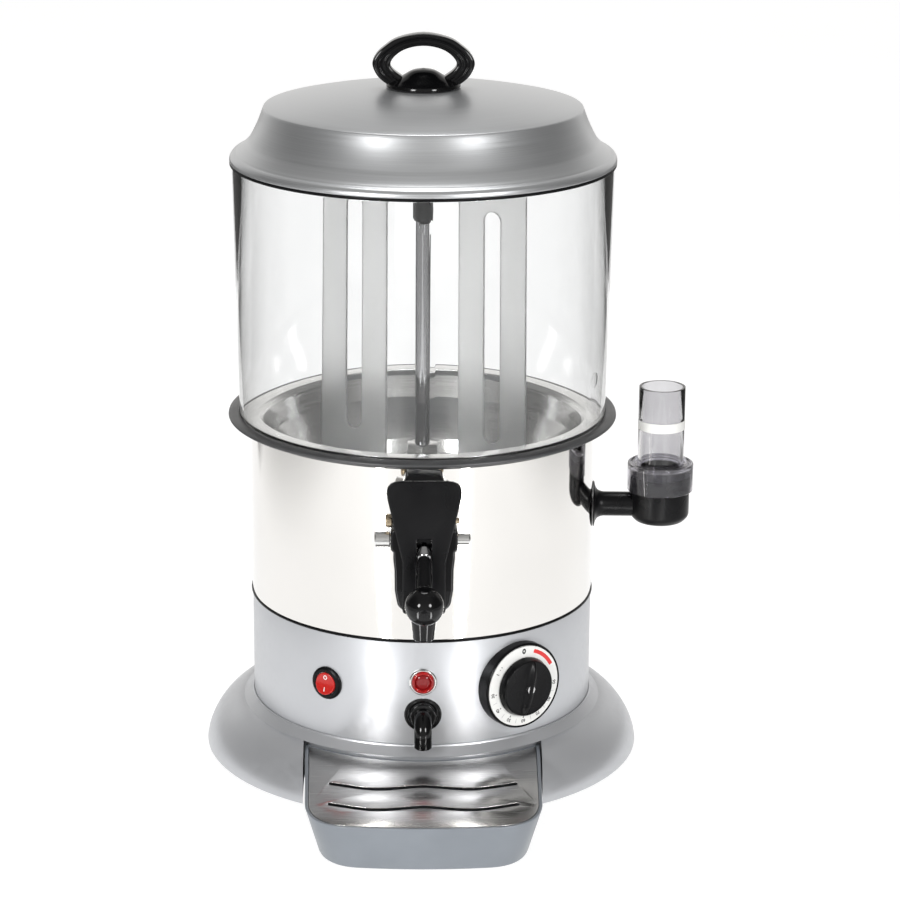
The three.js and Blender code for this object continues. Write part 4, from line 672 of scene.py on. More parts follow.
# The black bead is painted shade: a dark part that stands for the shade in the gap between band and housing.
gap_shade_bead_line = [(117.9, 112.3), (119.2, 112.3), (119.6, 112.9), (119.5, 113.6), (119.0, 114.0), (117.9, 114.0)]
make_piece("housing_gap_shade_bead", turned(gap_shade_bead_line, 0.25, 192), black_satin, "machine")
print("housing with", len(louvre_heights), "louvres")

# %% [markdown]
# The band is the outside of the water tank. It stands on the housing with a thin dark gap, which
# the small radius at its lower edge makes, and its upper flange disappears under the gasket.

# %% Water tank with its polished band
band_line = [
    (5.3, 112.6), (117.8, 112.6), (117.8, 114.2), (118.9, 114.2), (118.9, 236), (124, 236), (124, 237),
    (117.9, 237), (117.9, 115.2), (116.8, 115.2), (116.8, 113.6), (5.3, 113.6)]
band_soft = [0, 0.3, 0.2, 0.5, 0.3, 0.3, 0.3, 0.2, 0.3, 0.2, 0.3, 0]
band = make_piece("tank_band", turned(band_line, band_soft, 192), mirror_steel, "machine", "water_tank")
print("band faces", len(band.data.polygons))

# %% [markdown]
# The gasket is one moulded rubber ring. Its lip stands out all round under the jar and has soft
# edges, and inside it carries the pot's flange and the jar's foot.

# %% Gasket
gasket_line = [
    (118.9, 237.3), (124.3, 237.3), (124.3, 235.7), (127, 235.7), (127.6, 237.1), (132.6, 238.3),
    (134, 239.2), (133.7, 240.6), (131.4, 241.4), (128.6, 241.9), (126.7, 241.9), (126.7, 240.3),
    (122.3, 240.3), (122.3, 241.2), (118.9, 241.2)]
gasket_soft = [0, 0, 0.4, 0.6, 0.6, 1.2, 0.6, 0.6, 1.5, 0.6, 0.3, 0.2, 0.2, 0.3, 0.2]
make_piece("gasket_ring", turned(gasket_line, gasket_soft, 192), grey_rubber, "machine", "jar_gasket")
print("gasket from radius", gasket_line[0][0], "to", max(r for r, z in gasket_line))

# %% [markdown]
# The pot is deep drawn from bright sheet: a flat flange, a well that steps down in three rings and
# a raised boss in the middle for the drive. Each step is a soft bend, and together the bends give
# the bright rings that show through the jar. The outlet to the tap is drilled through its front.

# %% Pot
OUTLET_Z = 203.3
outlet_place = (0, 0, OUTLET_Z)
pot_line = [
    (122.3, 242.7), (111.3, 242.7), (108.3, 239.7), (103, 226.7), (94, 213.2), (88, 202.7), (85, 190.7),
    (22, 190.7), (14, 214.7), (5.3, 214.7), (5.3, 213.5), (12.8, 213.5), (20.8, 189.5),
    (86.2, 189.5), (89.2, 201.5), (95.2, 212), (104.2, 225.5), (109.5, 238.5), (112.5, 241.5), (122.3, 241.5),
]
pot_soft = [0.3, 2.5, 2.5, 5, 5, 4, 5, 4, 3, 0, 0, 2, 5, 4, 4, 4, 5, 2, 2, 0.3]
pot = make_piece("pot_well", turned(pot_line, pot_soft, 160, arcs=4), turned_steel_painted_bright, "machine", "pot")
carve(pot, [spun([(0, 60), (9.5, 60), (9.5, 125), (0, 125)], 40, False, forward, outlet_place)])
pipe_line = [(9.5, 94), (12, 94), (12, 131), (9.5, 131)]
pipe_shape = turned(pipe_line, 0.4, 48, forward, outlet_place)
make_piece("pot_outlet_pipe", pipe_shape, turned_steel_painted_bright, "machine")
print("pot faces", len(pot.data.polygons))

# %% [markdown]
# The jar is a clear moulded tube that opens a little towards the top. What makes a clear moulding
# readable is its rim: the wall's rounded ends gather light into bright rings. Two moulded marks,
# small round dimples on its outside, show at the front.

# %% Jar
jar_line = [(123.1, 240.6), (126.3, 240.6), (129.4, 415.0), (126.2, 415.0)]
jar = make_piece("jar_wall", turned(jar_line, 1.3, 256, arcs=6), clear_jar, "jar", "jar", sharp=60)
for turn, height, bottom in ((0.8, 398, 128.7), (65.5, 276, 126.5)):
    dimple = [(0, bottom), (5.2, bottom), (5.2, bottom + 6), (0, bottom + 6)]
    carve(jar, [spun(dimple, 48, False, forward, (0, 0, height))], turn, sharp=60)
print("jar faces", len(jar.data.polygons))

# %% [markdown]
# The lid is spun metal: a short rolled rim over a black seal, a flank that sweeps in and up in an
# S, a firm crease and a low dome. The flank is a smooth curve through measured points, and the
# crease keeps a small radius so that it catches a thin light.

# %% Lid
LID_RIM, LID_CREASE, LID_BOTTOM = 131.0, 107.6, 416.6
roll_shares = [(0, 0), (0.015, 0.045), (0.06, 0.09), (0.12, 0.115), (0.19, 0.13)]
flank_shares = [(0.22, 0.15), (0.31, 0.195), (0.45, 0.28), (0.56, 0.36), (0.69, 0.51), (0.85, 0.735), (1, 1)]


def lid_flank(inset):
    line = []
    for shares in (roll_shares, flank_shares):
        spots = [(LID_RIM - inset - 23.4 * a, LID_BOTTOM + 1 + 35.4 * b) for a, b in shares]
        line += flowing(spots, 4)
    return line


def lid_dome(inset, steps=14):
    line = []
    for k in range(1, steps + 1):
        radius = LID_CREASE + (3.1 - LID_CREASE) * k / steps
        line.append((radius, 453.0 + 13 * (1 - (radius / LID_CREASE) ** 2) - inset))
    return line


outer = [(LID_RIM, LID_BOTTOM)] + lid_flank(0)
outer_dome = softened([outer[-2], outer[-1], lid_dome(0)[0]], 1.6, closed=False)[1:-1] + lid_dome(0)
inner = list(reversed([(LID_RIM - 1.2, LID_BOTTOM)] + lid_flank(1.2) + lid_dome(1.2)))
lid_line = softened([inner[-1], outer[0], outer[1]], 0.5, closed=False)[1:-1] + outer[1:-1]
lid_line += outer_dome + inner
lid = make_piece("lid_shell", spun(lid_line, 192), satin_spun, "lid", "lid", sharp=50)
seal_line = [
    (124, 413.6), (125.6, 413.6), (125.6, 415.3), (129.7, 415.3), (129.7, 414.5), (130.9, 414.5),
    (130.9, 416.3), (129.5, 416.3), (129.5, 417.1), (124, 417.1)]
make_piece("lid_ring_seal", turned(seal_line, 0.3, 160), black_satin, "lid", "lid_seal")
print("lid faces", len(lid.data.polygons))

# %% [markdown]
# The lid's handle is one black moulding: a domed foot and a flat loop on it that leans in at its
# shoulders. A loop with an even section would look like wire. So its section travels between an
# outer and an inner outline, wide at the shoulders and slim at the top, with well rounded edges
# and a shallow groove along both faces.

# %% Lid handle
HANDLE_FOOT = 466.3
loop_outer = [
    (0.6, 0.02), (0.72, 0.05), (0.9, 0.2), (1, 0.42), (0.93, 0.6), (0.77, 0.75), (0.5, 0.91), (0, 1)]
loop_inner = [
    (0.3, 0.1), (0.37, 0.16), (0.57, 0.3), (0.647, 0.416), (0.59, 0.544), (0.43, 0.67), (0.22, 0.745),
    (0, 0.77)]
LOOP_FACE, GROOVE_FACE = 5.5, 5.0


def loop_edge(shares):
    right = [(34.3 * a, 35.7 * b) for a, b in shares]
    left = [(-x, z) for x, z in reversed(right[:-1])]
    return flowing(right + left, 5)


def loop_section(out, inn):
    """A rounded bar between a point on the outer outline and one on the inner outline."""
    middle = [(a + b) / 2 for a, b in zip(out, inn)]
    half = hypot(out[0] - inn[0], out[1] - inn[1]) / 2
    way = ((out[0] - inn[0]) / (2 * half), (out[1] - inn[1]) / (2 * half))
    side = [(-1, LOOP_FACE), (-0.35, LOOP_FACE), (-0.2, GROOVE_FACE)]
    side += [(-share, face) for share, face in reversed(side)]
    side = [(half * share, -face) for share, face in side]
    whole = side + [(x, -y) for x, y in reversed(side)]
    soft = [2.6, 0.4, 0.4, 0.4, 0.4, 2.6] * 2
    return [
        (middle[0] + way[0] * u, v, HANDLE_FOOT + middle[1] + way[1] * u)
        for u, v in softened(whole, soft, 4)
    ]


loop = [loop_section(a, b) for a, b in zip(loop_edge(loop_outer), loop_edge(loop_inner))]
dome_line = [(0, 0), (25, 0), (25, 1.4)]
dome_line += flowing([(24.6, 2.2), (20, 4.0), (14, 7.0), (7.5, 10.6), (0, 12)], 5)
dome = spun([(r, HANDLE_FOOT + z) for r, z in dome_line], 96, False)
make_piece("lid_grip", joined(skinned(loop), dome), black_gloss, "lid", "lid_handle", sharp=40)
print("handle sections", len(loop))

# %% [markdown]
# In the middle of the pot stand the centre tube, its hexagon nut and the black drive dog that
# carries the stirrer. A nut isn't just a hexagon: its corners are turned off on the lathe, so the
# flats end in curved arcs. Its height at each angle is worked out from that cone.

# %% Centre tube, nut and drive dog


def hexagon_radius(flat, angle):
    return flat / cos((angle + pi / 6) % (pi / 3) - pi / 6)


def nut_shape(flat, bore, bottom, height, chamfer=0.55, sides=96):
    """A hexagon nut with its corners turned off on top, as rings of points."""
    top = bottom + height
    rows = []
    for k in range(sides):
        angle = 2 * pi * k / sides
        reach = hexagon_radius(flat, angle)
        drop = max(0.0, reach - (flat - 0.4)) * chamfer
        line = [(bore, bottom), (reach, bottom), (reach, top - drop), (flat - 0.5, top)]
        line += [(bore + 0.6, top), (bore, top - 0.6)]
        rows.append([(r * cos(angle), r * sin(angle), z) for r, z in line])
    return skinned(rows, loop=True)


def hexagon_ring(flat, height, sides=48):
    spots = [(hexagon_radius(flat, a), a) for a in (2 * pi * k / sides for k in range(sides))]
    return [(reach * cos(a), reach * sin(a), height) for reach, a in spots]


tube_line = [(3.7, 98.6), (5, 98.6), (5, 381), (3.7, 381)]
make_piece("drive_tube", turned(tube_line, 0.4, 48), tube_steel_painted_dark, "machine", "centre_tube")
pot_nut = nut_shape(10.2, 5.3, 215.0, 8.0)
make_piece("pot_nut", pot_nut, turned_steel_painted_bright, "machine", "tube_nut", sharp=28)
dog_line = [(0, 381.6), (5.4, 381.6), (5.4, 369), (6.1, 369), (7, 370.6), (7, 397.4), (4.4, 397.4)]
dog_line = softened(dog_line, [0, 0.4, 0.2, 0.2, 0.4, 0.6, 0], closed=False)
dog_foot = spun(dog_line + [(0, 397.4)], 48, False)
dog_head = skinned([hexagon_ring(flat, z) for flat, z in ((4.5, 397.2), (4.5, 405.0), (4.1, 405.5))])
STIRRER_TURN = -24
dog_shape = joined(dog_foot, dog_head)
make_piece("drive_dog", dog_shape, black_satin, "drive", "drive_coupling", STIRRER_TURN, 28)
dog_heights = [point[2] for point in dog_shape[0]]
print("drive dog from height", min(dog_heights), "up to", max(dog_heights))

# %% [markdown]
# The stirrer is moulded from a frosted plastic: two tall blades with a long slot in each, hung
# from a bar over the drive dog. They are plates with soft edges, cut from one outline each.

# %% Stirrer


def stand(x, y, z):
    """Lays a plate drawn in X and Y upright, its thickness along Y."""
    return x, z, y


def slot_outline(x, low, high, half, steps=10):
    turns = [pi * k / steps for k in range(steps + 1)]
    top = [(x + half * cos(a), high - half + half * sin(a)) for a in turns]
    bottom = [(x - half * cos(a), low + half - half * sin(a)) for a in turns]
    return top + bottom


def blade_shape(side):
    outline = softened([(27, 194.7), (76, 194.7), (76, 406), (27, 406)], 10, 6)
    slot = slot_outline(51.5, 227, 380, 6)
    points, faces = moved(plate([outline, slot], 3, 0.6), (0, -1.5, 0), stand)
    return [(side * x, side * y, z) for x, y, z in points], faces


bar = moved(plate([box_outline(70, 8, 1.5)], 3, 0.5), (0, -1.5, 402), stand)
stirrer_hub = turned([(5.4, 398), (12, 398), (12, 406), (5.4, 406)], 0.6, 48)
stirrer_shape = joined(blade_shape(1), blade_shape(-1), bar, stirrer_hub)
stirrer = make_piece("stirrer_frame", stirrer_shape, frosted_blade, "stirrer", "stirrer", STIRRER_TURN)
print("stirrer faces", len(stirrer.data.polygons))

# %% [markdown]
# Four rubber feet carry the machine. They are turned pads with a small chamfer, and show only from
# below. The rest of the hidden hardware keeps its CAD form and gets a fitting finish.

# %% Feet and hidden hardware
foot_line = [(0, -4), (11.2, -4), (12, -3.2), (12, 2.7), (0, 2.7)]
for name in ("foot_front_left", "foot_front_right", "foot_rear_right", "foot_rear_left"):
    low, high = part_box(name)
    place = ((low + high) / 2 - axis_place) / MM
    pad = turned(foot_line, 0.5, 40, centre=(place.x, place.y, 0), closed=False)
    make_piece(name + "_pad", pad, grey_rubber, "machine", name)

hidden_looks = (
    (zinc_plate, ("base_plate", "gear_motor", "motor_bracket", "handle_screw", "thermostat_body")),
    (turned_steel_painted_bright, ("drive_shaft", "heating_element", "drain_pipe")),
    (drawn_steel, ("thermostat_spindle", "tap_spring")),
    (turned_brass, ("tube_lock_nut", "gauge_lock_nut", "drain_nut")),
    (white_moulding, ("tap_piston",)),
    (terminal_white, ("terminal_block",)),
    (grey_rubber, ("piston_seal", "tap_washer", "gauge_seal")),
    (black_satin, ("gland_nut",)),
)
for look, names in hidden_looks:
    for name in names:
        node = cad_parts[name]
        node.data.materials.clear()
        node.data.materials.append(look)
    print(look.name, "on", ", ".join(names))

# %% [markdown]
# The tap is a stout black moulding. Its body is an upright block with a rounded outline, a wider
# hub across it for the pin, a round boss that reaches back to the tank and a spout underneath.
# Each of these is a simple form, so they are made one by one and joined into a single casting.
# The slot for the lever and the bore for the piston are cut through afterwards.

# %% Tap body
TAP_Y = -146.5
PIN_Z, PIN_Y = 198.5, TAP_Y - 12


def mirrored(half):
    """A closed outline from its right half, which runs upwards."""
    return half + [(-x, z) for x, z in reversed(half)]


cheek = mirrored([(12.4, 150), (17.2, 154.3), (19, 164.4), (19.2, 178.8), (20, 186), (20, 211.9), (14, 222)])
cheek = softened(cheek, [3, 6, 9, 9, 9, 6, 4, 4, 6, 9, 9, 9, 6, 3], 4)
body_shape = moved(plate([cheek], 30.5, 1.6, 3), (0, TAP_Y - 17.5, 0), stand)
tap_body = make_piece("tap_casting", body_shape, black_gloss, "machine", "tap_body")
hub_shape = moved(plate([box_outline(43.6, 16, 4)], 24, 1.2, 3), (0, TAP_Y - 17.5, PIN_Z), stand)
boss_line = [(0, 0), (16, 0), (16, 30), (13.2, 33), (0, 33)]
boss_shape = turned(boss_line, 0.8, 72, forward, (0, TAP_Y + 25.5, OUTLET_Z), closed=False)
spout_line = [(0, 152), (9.5, 152), (9.4, 148), (8.6, 140), (7.5, 131), (7, 125.9), (6.2, 125), (0, 125)]
spout_soft = [0, 0, 3, 8, 8, 0.8, 0.8, 0]
spout_shape = turned(spout_line, spout_soft, 56, centre=(0, TAP_Y, 0), closed=False)
carve(tap_body, [hub_shape, boss_shape, spout_shape], how="UNION")
slot_cut = block((-4.8, TAP_Y - 30, 172), (4.8, TAP_Y, 207))
bore_cut = spun([(0, 160), (8.4, 160), (8.4, 223), (0, 223)], 56, False, upright, (0, TAP_Y, 0))
spout_cut = spun([(0, 120), (4.6, 120), (4.6, 162), (0, 162)], 40, False, upright, (0, TAP_Y, 0))
channel_line = [(0, 0), (12.3, 0), (12.3, 14.8), (8.2, 14.8), (8.2, 30), (0, 30)]
channel_cut = spun(channel_line, 48, False, forward, (0, TAP_Y + 30, OUTLET_Z))
carve(tap_body, [slot_cut, bore_cut, spout_cut, channel_cut], sharp=34)
print("tap casting faces", len(tap_body.data.polygons))

# %% [markdown]
# A front plate covers the slot. It is wide at the top and tapers to a waist, and its lever slot is
# open at the bottom, so the plate stands on two legs. A small radius runs round the outline and the
# slot, and that is where a black moulding catches the light.

# %% Front plate and cap
plate_half = [(4.8, 201), (4.8, 150), (14, 150), (14, 185), (26.4, 240)]
plate_line = softened(mirrored(plate_half), [0.9, 1.2, 3, 9, 9.5, 9.5, 9, 3, 1.2, 0.9], 5)
front_shape = moved(plate([plate_line], 3.4, 0.8, 3), (0, TAP_Y - 21.2, 0), stand)
make_piece("tap_cover", front_shape, black_satin, "machine", "tap_front_plate")


def tower(levels, radius, place):
    """A block whose rounded outline changes with height: (width, depth, height) rows."""
    rows = []
    for width, depth, height in levels:
        size = min(radius, width / 2 - 0.5, depth / 2 - 0.5)
        rows.append([(x + place[0], y + place[1], height) for x, y in box_outline(width, depth, size)])
    return skinned(rows)


cap_levels = [
    (26.2, 19.2, 222.3), (27, 20, 222.7), (27, 20, 234.2), (26.6, 19.6, 235.2), (22.6, 15.6, 239.2),
    (21.6, 14.6, 239.6)]
make_piece("tap_top", tower(cap_levels, 2.6, (0, TAP_Y)), black_gloss, "machine", "tap_cap", sharp=34)
print("cap levels", len(cap_levels))

# %% [markdown]
# The lever pivots on a polished pin that sticks out of both sides of the hub, and a thinner brass
# pin above it keeps the cap on. Turned pins have chamfered ends and a shallow centre mark, which
# show as a bright ring.

# %% Pins
pin_place = (0, PIN_Y, PIN_Z)
pin_line = [
    (0, -31.6), (1.1, -32), (4.5, -32.1), (5.3, -31.3), (5.3, -22.6), (4.8, -22.1), (3.8, -22.1),
    (3.8, 29), (2.9, 30), (1.1, 29.9), (0, 29.5)]
pin_shape = spun(pin_line, 48, False, across, pin_place)
make_piece("lever_pivot", pin_shape, turned_steel_painted_bright, "machine", "lever_pin")
lock_line = [
    (0, -25.3), (3.4, -25.3), (4.4, -24.4), (4.4, -21.2), (3.7, -20.3), (1.9, -20.3), (1.9, 22.3),
    (1.3, 23), (0, 23)]
lock_shape = turned(lock_line, 0.25, 36, across, (0, PIN_Y, 211), 2, False)
make_piece("cap_pin", lock_shape, turned_brass, "machine", "tap_lock_pin")
print("pins at", pin_place)

# %% [markdown]
# The lever has a dark hub on the pin, a finger that lifts the piston and a stem. Only a bright
# collar at the root of the stem shows in the slot, because a black sleeve covers the rest as far as
# the ball. The ball is a moulding with a short neck, and a faint parting line runs round it, so it
# isn't a perfect sphere.

# %% Lever, sleeve and ball
STEM_DROP = 39
ahead = Vector((0, -cos(radians(STEM_DROP)), -sin(radians(STEM_DROP))))


def down_the_stem(x, y, z):
    """The spin's axis runs down the stem, away from the pin."""
    return x, y * ahead.z + z * ahead.y, -y * ahead.y + z * ahead.z


stem_line = [(0, 5), (3.6, 5), (3.6, 7.6), (4.4, 8), (4.5, 8.6), (4.5, 14.6), (4, 15.4), (3.4, 15.6)]
stem_line += [(2.6, 34.4), (2.6, 46.6), (2, 47.2), (0, 47.2)]
stem_shape = turned(stem_line, 0.3, 56, down_the_stem, pin_place, 2, False)
make_piece("lever_collar", stem_shape, tube_steel_painted_dark, "lever", "tap_lever")
hub_line = [(0, -4.6), (5.8, -4.6), (5.8, 4.6), (0, 4.6)]
lever_hub_shape = turned(hub_line, 0.5, 48, across, pin_place, closed=False)
lever_hub = make_piece("lever_hub", lever_hub_shape, black_satin, "lever")
tilt = radians(-12)
finger_flat = plate([box_outline(12, 4, 1.4)], 7.6, 0.6, 2)
finger_points = [
    (z - 3.8, PIN_Y + (x + 6) * cos(tilt) - y * sin(tilt), PIN_Z + (x + 6) * sin(tilt) + y * cos(tilt))
    for x, y, z in finger_flat[0]]
root_form = spun([(0, 2), (3.6, 2), (3.6, 5.2), (0, 5.2)], 40, False, down_the_stem, pin_place)
carve(lever_hub, [(finger_points, finger_flat[1]), root_form], how="UNION")
carve(lever_hub, [spun([(0, -6), (4.05, -6), (4.05, 6), (0, 6)], 48, False, across, pin_place)])
ball_line = [(2.75, -13.2), (4.6, -13.2), (5, -12.4), (5, -11.4)]
for step in range(33):
    angle = radians(-66 + step * (156 / 32))
    seam = 0.06 if step == 13 else 0.0
    ball_line.append(((12.5 + seam) * cos(angle) if step < 32 else 0, (12.5 + seam) * sin(angle)))
inner_line = [(0, 4), (2.75, 4)]
BALL_REACH = hypot(51.63 - 12, PIN_Z - 166.4)
ball_centre = Vector(pin_place) + ahead * BALL_REACH
ball_shape = spun(inner_line + ball_line, 80, False, down_the_stem, tuple(ball_centre))
make_piece("ball_grip", ball_shape, black_gloss, "lever", "lever_ball")
sleeve_line = [(3.2, 15.9), (4, 15.9), (4.3, 16.3), (4.4, 24), (4.6, 38.2), (3.2, 38.2)]
sleeve_shape = turned(sleeve_line, 0.15, 48, down_the_stem, pin_place)
make_piece("stem_sleeve", sleeve_shape, black_satin, "lever")
print("ball centre", [round(v, 2) for v in ball_centre])

# %% [markdown]
# The level gauge hangs on the right side of the tank. A black elbow comes out of a bell-shaped
# flange and carries a cup, a smoky ring nut clamps the clear tube in the cup, and the tube has one
# pale band printed near its top. The flange, the pipe and the cup are turned forms on two axes that
# cross, so they are spun separately and joined.

# %% Gauge elbow
GAUGE_TURN = 88
CUP_Y = -165.5
PIPE_Z = 173.5

flange_line = [
    (0, 0), (15.7, 0), (16, 0.35), (15.6, 0.8), (13.2, 1.3), (11.4, 2), (10, 3), (9.3, 4.2), (8.8, 5.6),
    (8.5, 7.2), (8.5, 46), (0, 46)]
flange_shape = spun(flange_line, 72, False, forward, (0, -119.2, PIPE_Z))
elbow = make_piece(
    "gauge_elbow_casting", flange_shape, black_satin, "machine", "gauge_elbow", GAUGE_TURN)
cup_line = [(0, 162.2), (16.5, 162.2), (20.5, 166.6), (20.5, 195.5), (17.5, 195.5), (17.5, 165.2), (0, 165.2)]
cup_place = (0, CUP_Y, 0)
cup_shape = turned(cup_line, [0, 5, 5, 0.7, 0.7, 1, 0], 96, centre=cup_place, arcs=5, closed=False)
carve(elbow, [cup_shape], GAUGE_TURN, "UNION")
pipe_cut = spun([(0, 0), (5, 0), (5, 40), (0, 40)], 40, False, forward, (0, -118, PIPE_Z))
carve(elbow, [pipe_cut], GAUGE_TURN)
print("gauge elbow faces", len(elbow.data.polygons))

# %% [markdown]
# The ring nut is a smooth smoky moulding. A groove in its top and the steps inside it show through
# the clear material as rings, so both are turned into one closed profile.

# %% Ring nut
nut_line = [
    (20.8, 184.3), (21.9, 184.3), (22.8, 185.1), (22.8, 203.4), (22.3, 204.2), (21, 204.2), (20.6, 203.3),
    (19.8, 203.3), (19.4, 204.2), (18.5, 204.2), (18, 202.9), (16.3, 202.9), (16.3, 201.2),
    (20.1, 200.9), (20.8, 200.2)]
ring_nut = turned(nut_line, 0.3, 128, centre=cup_place)
make_piece("gauge_nut", ring_nut, smoky_nut, "machine", "gauge_ring_nut", GAUGE_TURN)
print("ring nut height", round(204.2 - 184.3, 1))

# %% [markdown]
# The tube is a closed wall like the jar, with polished ends. Its printed band lies on the outside of
# the front half only, a tenth of a millimetre off, because two faces in one place would flicker.

# %% Gauge tube and its band
tube_shape = turned([(14, 165.5), (16, 165.5), (16, 258.8), (14, 258.8)], 0.5, 96, centre=cup_place)
make_piece("gauge_glass", tube_shape, clear_tube, "machine", "gauge_tube", GAUGE_TURN)
mark_line = [(16.1, 229), (16.35, 229), (16.35, 235.6), (16.1, 235.6)]
mark_shape = turned(mark_line, 0.08, 96, centre=cup_place)
gauge_mark = make_piece("gauge_band", mark_shape, white_moulding, "machine", "gauge_mark_ring", GAUGE_TURN)
carve(gauge_mark, [block((-2, CUP_Y - 20, 220), (20, CUP_Y + 20, 240))], GAUGE_TURN)
print("gauge mark faces", len(gauge_mark.data.polygons))

# %% [markdown]
# The rocker switch has a round black bezel with a round pocket in it, and a red rocker that is
# dished like a saddle. The rocker is a stack of rings whose height follows the dish. The bezel's
# barrel goes back through the wall, which is curved, so it starts behind it.

# %% Rocker switch
SWITCH_TURN, SWITCH_Z, FACE_Y, ROCKER = -33, 76.5, -120.8, 7.6
bezel_line = [(0, 0), (10.5, 0), (10.5, 16.5), (11.4, 16.5), (11.4, 20.2), (10, 21), (0, 21)]
bezel_soft = [0, 0.5, 0, 0.3, 0.9, 0.9, 0]
bezel_shape = turned(bezel_line, bezel_soft, 80, forward, (0, FACE_Y + 21, SWITCH_Z), 4, False)
switch_bezel = make_piece(
    "switch_bezel", bezel_shape, black_satin, "machine", "switch_housing", SWITCH_TURN)
pocket_line = [(0, 0), (ROCKER + 0.55, 0), (ROCKER + 0.55, 12), (0, 12)]
pocket = spun(pocket_line, 64, False, forward, (0, FACE_Y + 9, SWITCH_Z))
carve(switch_bezel, [pocket], SWITCH_TURN)

ROCKER_LEAN = radians(-10)


def on_the_rocker(x, y, z):
    """A point on the rocker, its height towards the front, tilted about the pivot."""
    back = -z * cos(ROCKER_LEAN) - y * sin(ROCKER_LEAN)
    up = -z * sin(ROCKER_LEAN) + y * cos(ROCKER_LEAN)
    return x, FACE_Y + back, SWITCH_Z + up


def rocker_top(y):
    return 0.6 + 1.0 * (abs(y) / ROCKER) ** 1.6


rocker_outline = round_section(ROCKER, 64)
rings = []
for inset, drop in ((3, 5), (0.6, 3), (0, 2), (0, 0.5), (0.12, 0.2), (0.4, 0.02), (0.8, 0)):
    share = 1 - inset / ROCKER
    ring = []
    for x, y in rocker_outline:
        height = -drop if drop > 1 else rocker_top(y) - drop
        ring.append((x * share, y * share, height))
    rings.append(ring)
for share in (0.85, 0.65, 0.45, 0.25, 0.08):
    rings.append([(x * share, y * share, rocker_top(y * share)) for x, y in rocker_outline])
rocker_points, rocker_faces = skinned(rings)
rocker_shape = ([on_the_rocker(*point) for point in rocker_points], rocker_faces)
make_piece("switch_rocker", rocker_shape, red_rocker, "rocker", "power_rocker", SWITCH_TURN)


def rocker_mark(name, outlines):
    """A thin print that follows the dish of the rocker."""
    points, faces = plate(outlines, 0.08, 0.01, 1)
    lifted = [on_the_rocker(x, y, rocker_top(y) + 0.02 + z) for x, y, z in points]
    make_piece(name, (lifted, faces), ink_white, "rocker", turn=SWITCH_TURN)


rocker_mark("off_mark", [[(x, 4.3 + y) for x, y in round_section(size, 32)] for size in (1.5, 0.9)])
rocker_mark("on_mark", [[(-0.3, -5.3), (0.3, -5.3), (0.3, -2.5), (-0.3, -2.5)]])
print("rocker rings", len(rings))

# %% [markdown]
# The pilot lamp is a bright ring with a red lens. The lens has a raised rim that gathers light and a
# low dome in its middle. The dome is a darker, less clear copy of the lens and a black disc lies behind
# it: both paint the shade of the hollow behind the lens, so the two are separate pieces.

# %% Pilot lamp
LAMP_Z = 84.6
ring_line = [
    (0, 0), (8, 0), (8, 16.6), (9.4, 16.6), (9.4, 20), (8.6, 20.8), (7.9, 20.8), (7.9, 18.2), (0, 18.2)]
ring_soft = [0, 0, 0, 0.2, 0.5, 0.3, 0.2, 0.2, 0]
ring_shape = turned(ring_line, ring_soft, 72, forward, (0, -100, LAMP_Z), closed=False)
make_piece("lamp_ring", ring_shape, turned_steel_painted_bright, "machine", "lamp_housing")
lens_place = (0, -118.25, LAMP_Z)
lens_line = [(5.3, 0.4), (7.6, 0.4), (7.6, 2.9), (7.2, 4.1), (6.4, 4.6), (5.7, 4.1), (5.3, 3.4)]
lens_shape = turned(lens_line, [0.2, 0.2, 0.8, 0.9, 0.6, 0.5, 0.2], 72, forward, lens_place, 4)
middle_line = [(0, 0.4), (5.2, 0.4), (5.2, 2.6), (3.6, 3.3), (0, 3.6)]
middle_shape = turned(middle_line, [0, 0.2, 0.6, 1.5, 0], 72, forward, lens_place, 4, False)
# A black disc behind the lens paints the shade of the lamp's hollow.
hollow_shade_disc = spun([(0, 0), (7.4, 0), (7.4, 0.3), (0, 0.3)], 48, False, forward, lens_place)
make_piece("lamp_middle_painted_shade", middle_shape, red_lens_painted_shade, "machine")
make_piece("lamp_glass", lens_shape, red_lens, "machine", "lamp_lens")
make_piece("lamp_hollow_painted_shade", hollow_shade_disc, black_satin, "machine")
print("lamp at height", LAMP_Z)

# %% [markdown]
# The drain elbow is a stepped disc on the wall and a short spout that turns down. The spout is a
# round section that travels along a quarter bend, and it is bored from below.

# %% Drain elbow
DRAIN_Z = 60.7
disc_line = [
    (0, 0), (6, 0), (6, 14), (13, 14), (13, 17.4), (12, 18.5), (10.2, 18.5), (9.6, 19.1), (8.8, 22.5),
    (0, 22.5)]
disc_soft = [0, 0, 0, 0.4, 0.9, 0.9, 0.5, 0.6, 1.2, 0]
disc_shape = turned(disc_line, disc_soft, 72, forward, (0, -100, DRAIN_Z), 4, False)
drain = make_piece("drain_casting", disc_shape, black_gloss, "machine", "drain_elbow")
SPOUT_Y = -131.5
bend = [(0, -118, DRAIN_Z), (0, -120.5, DRAIN_Z)]
for step in range(13):
    angle = radians(step * 7.5)
    bend.append((0, -120.5 - 11 * sin(angle), DRAIN_Z - 11 + 11 * cos(angle)))
bend += [(0, SPOUT_Y, height) for height in (44.5, 42.7, 42)]
sizes = [1.0] * (len(bend) - 2) + [0.985, 0.88]
carve(drain, [skinned(along(bend, round_section(6, 40), sizes))], how="UNION")
carve(drain, [spun([(0, 36), (3.6, 36), (3.6, 58), (0, 58)], 32, False, upright, (0, SPOUT_Y, 0))])
print("drain faces", len(drain.data.polygons))

# %% [markdown]
# The thermostat has a thick black bezel. The white numbered face turns with the knob inside it and
# is read against a notch in the bezel's rim. The ridge of the knob is a row of sections with
# hollow flanks: it is narrow along its crest and swells in the middle like a leaf.

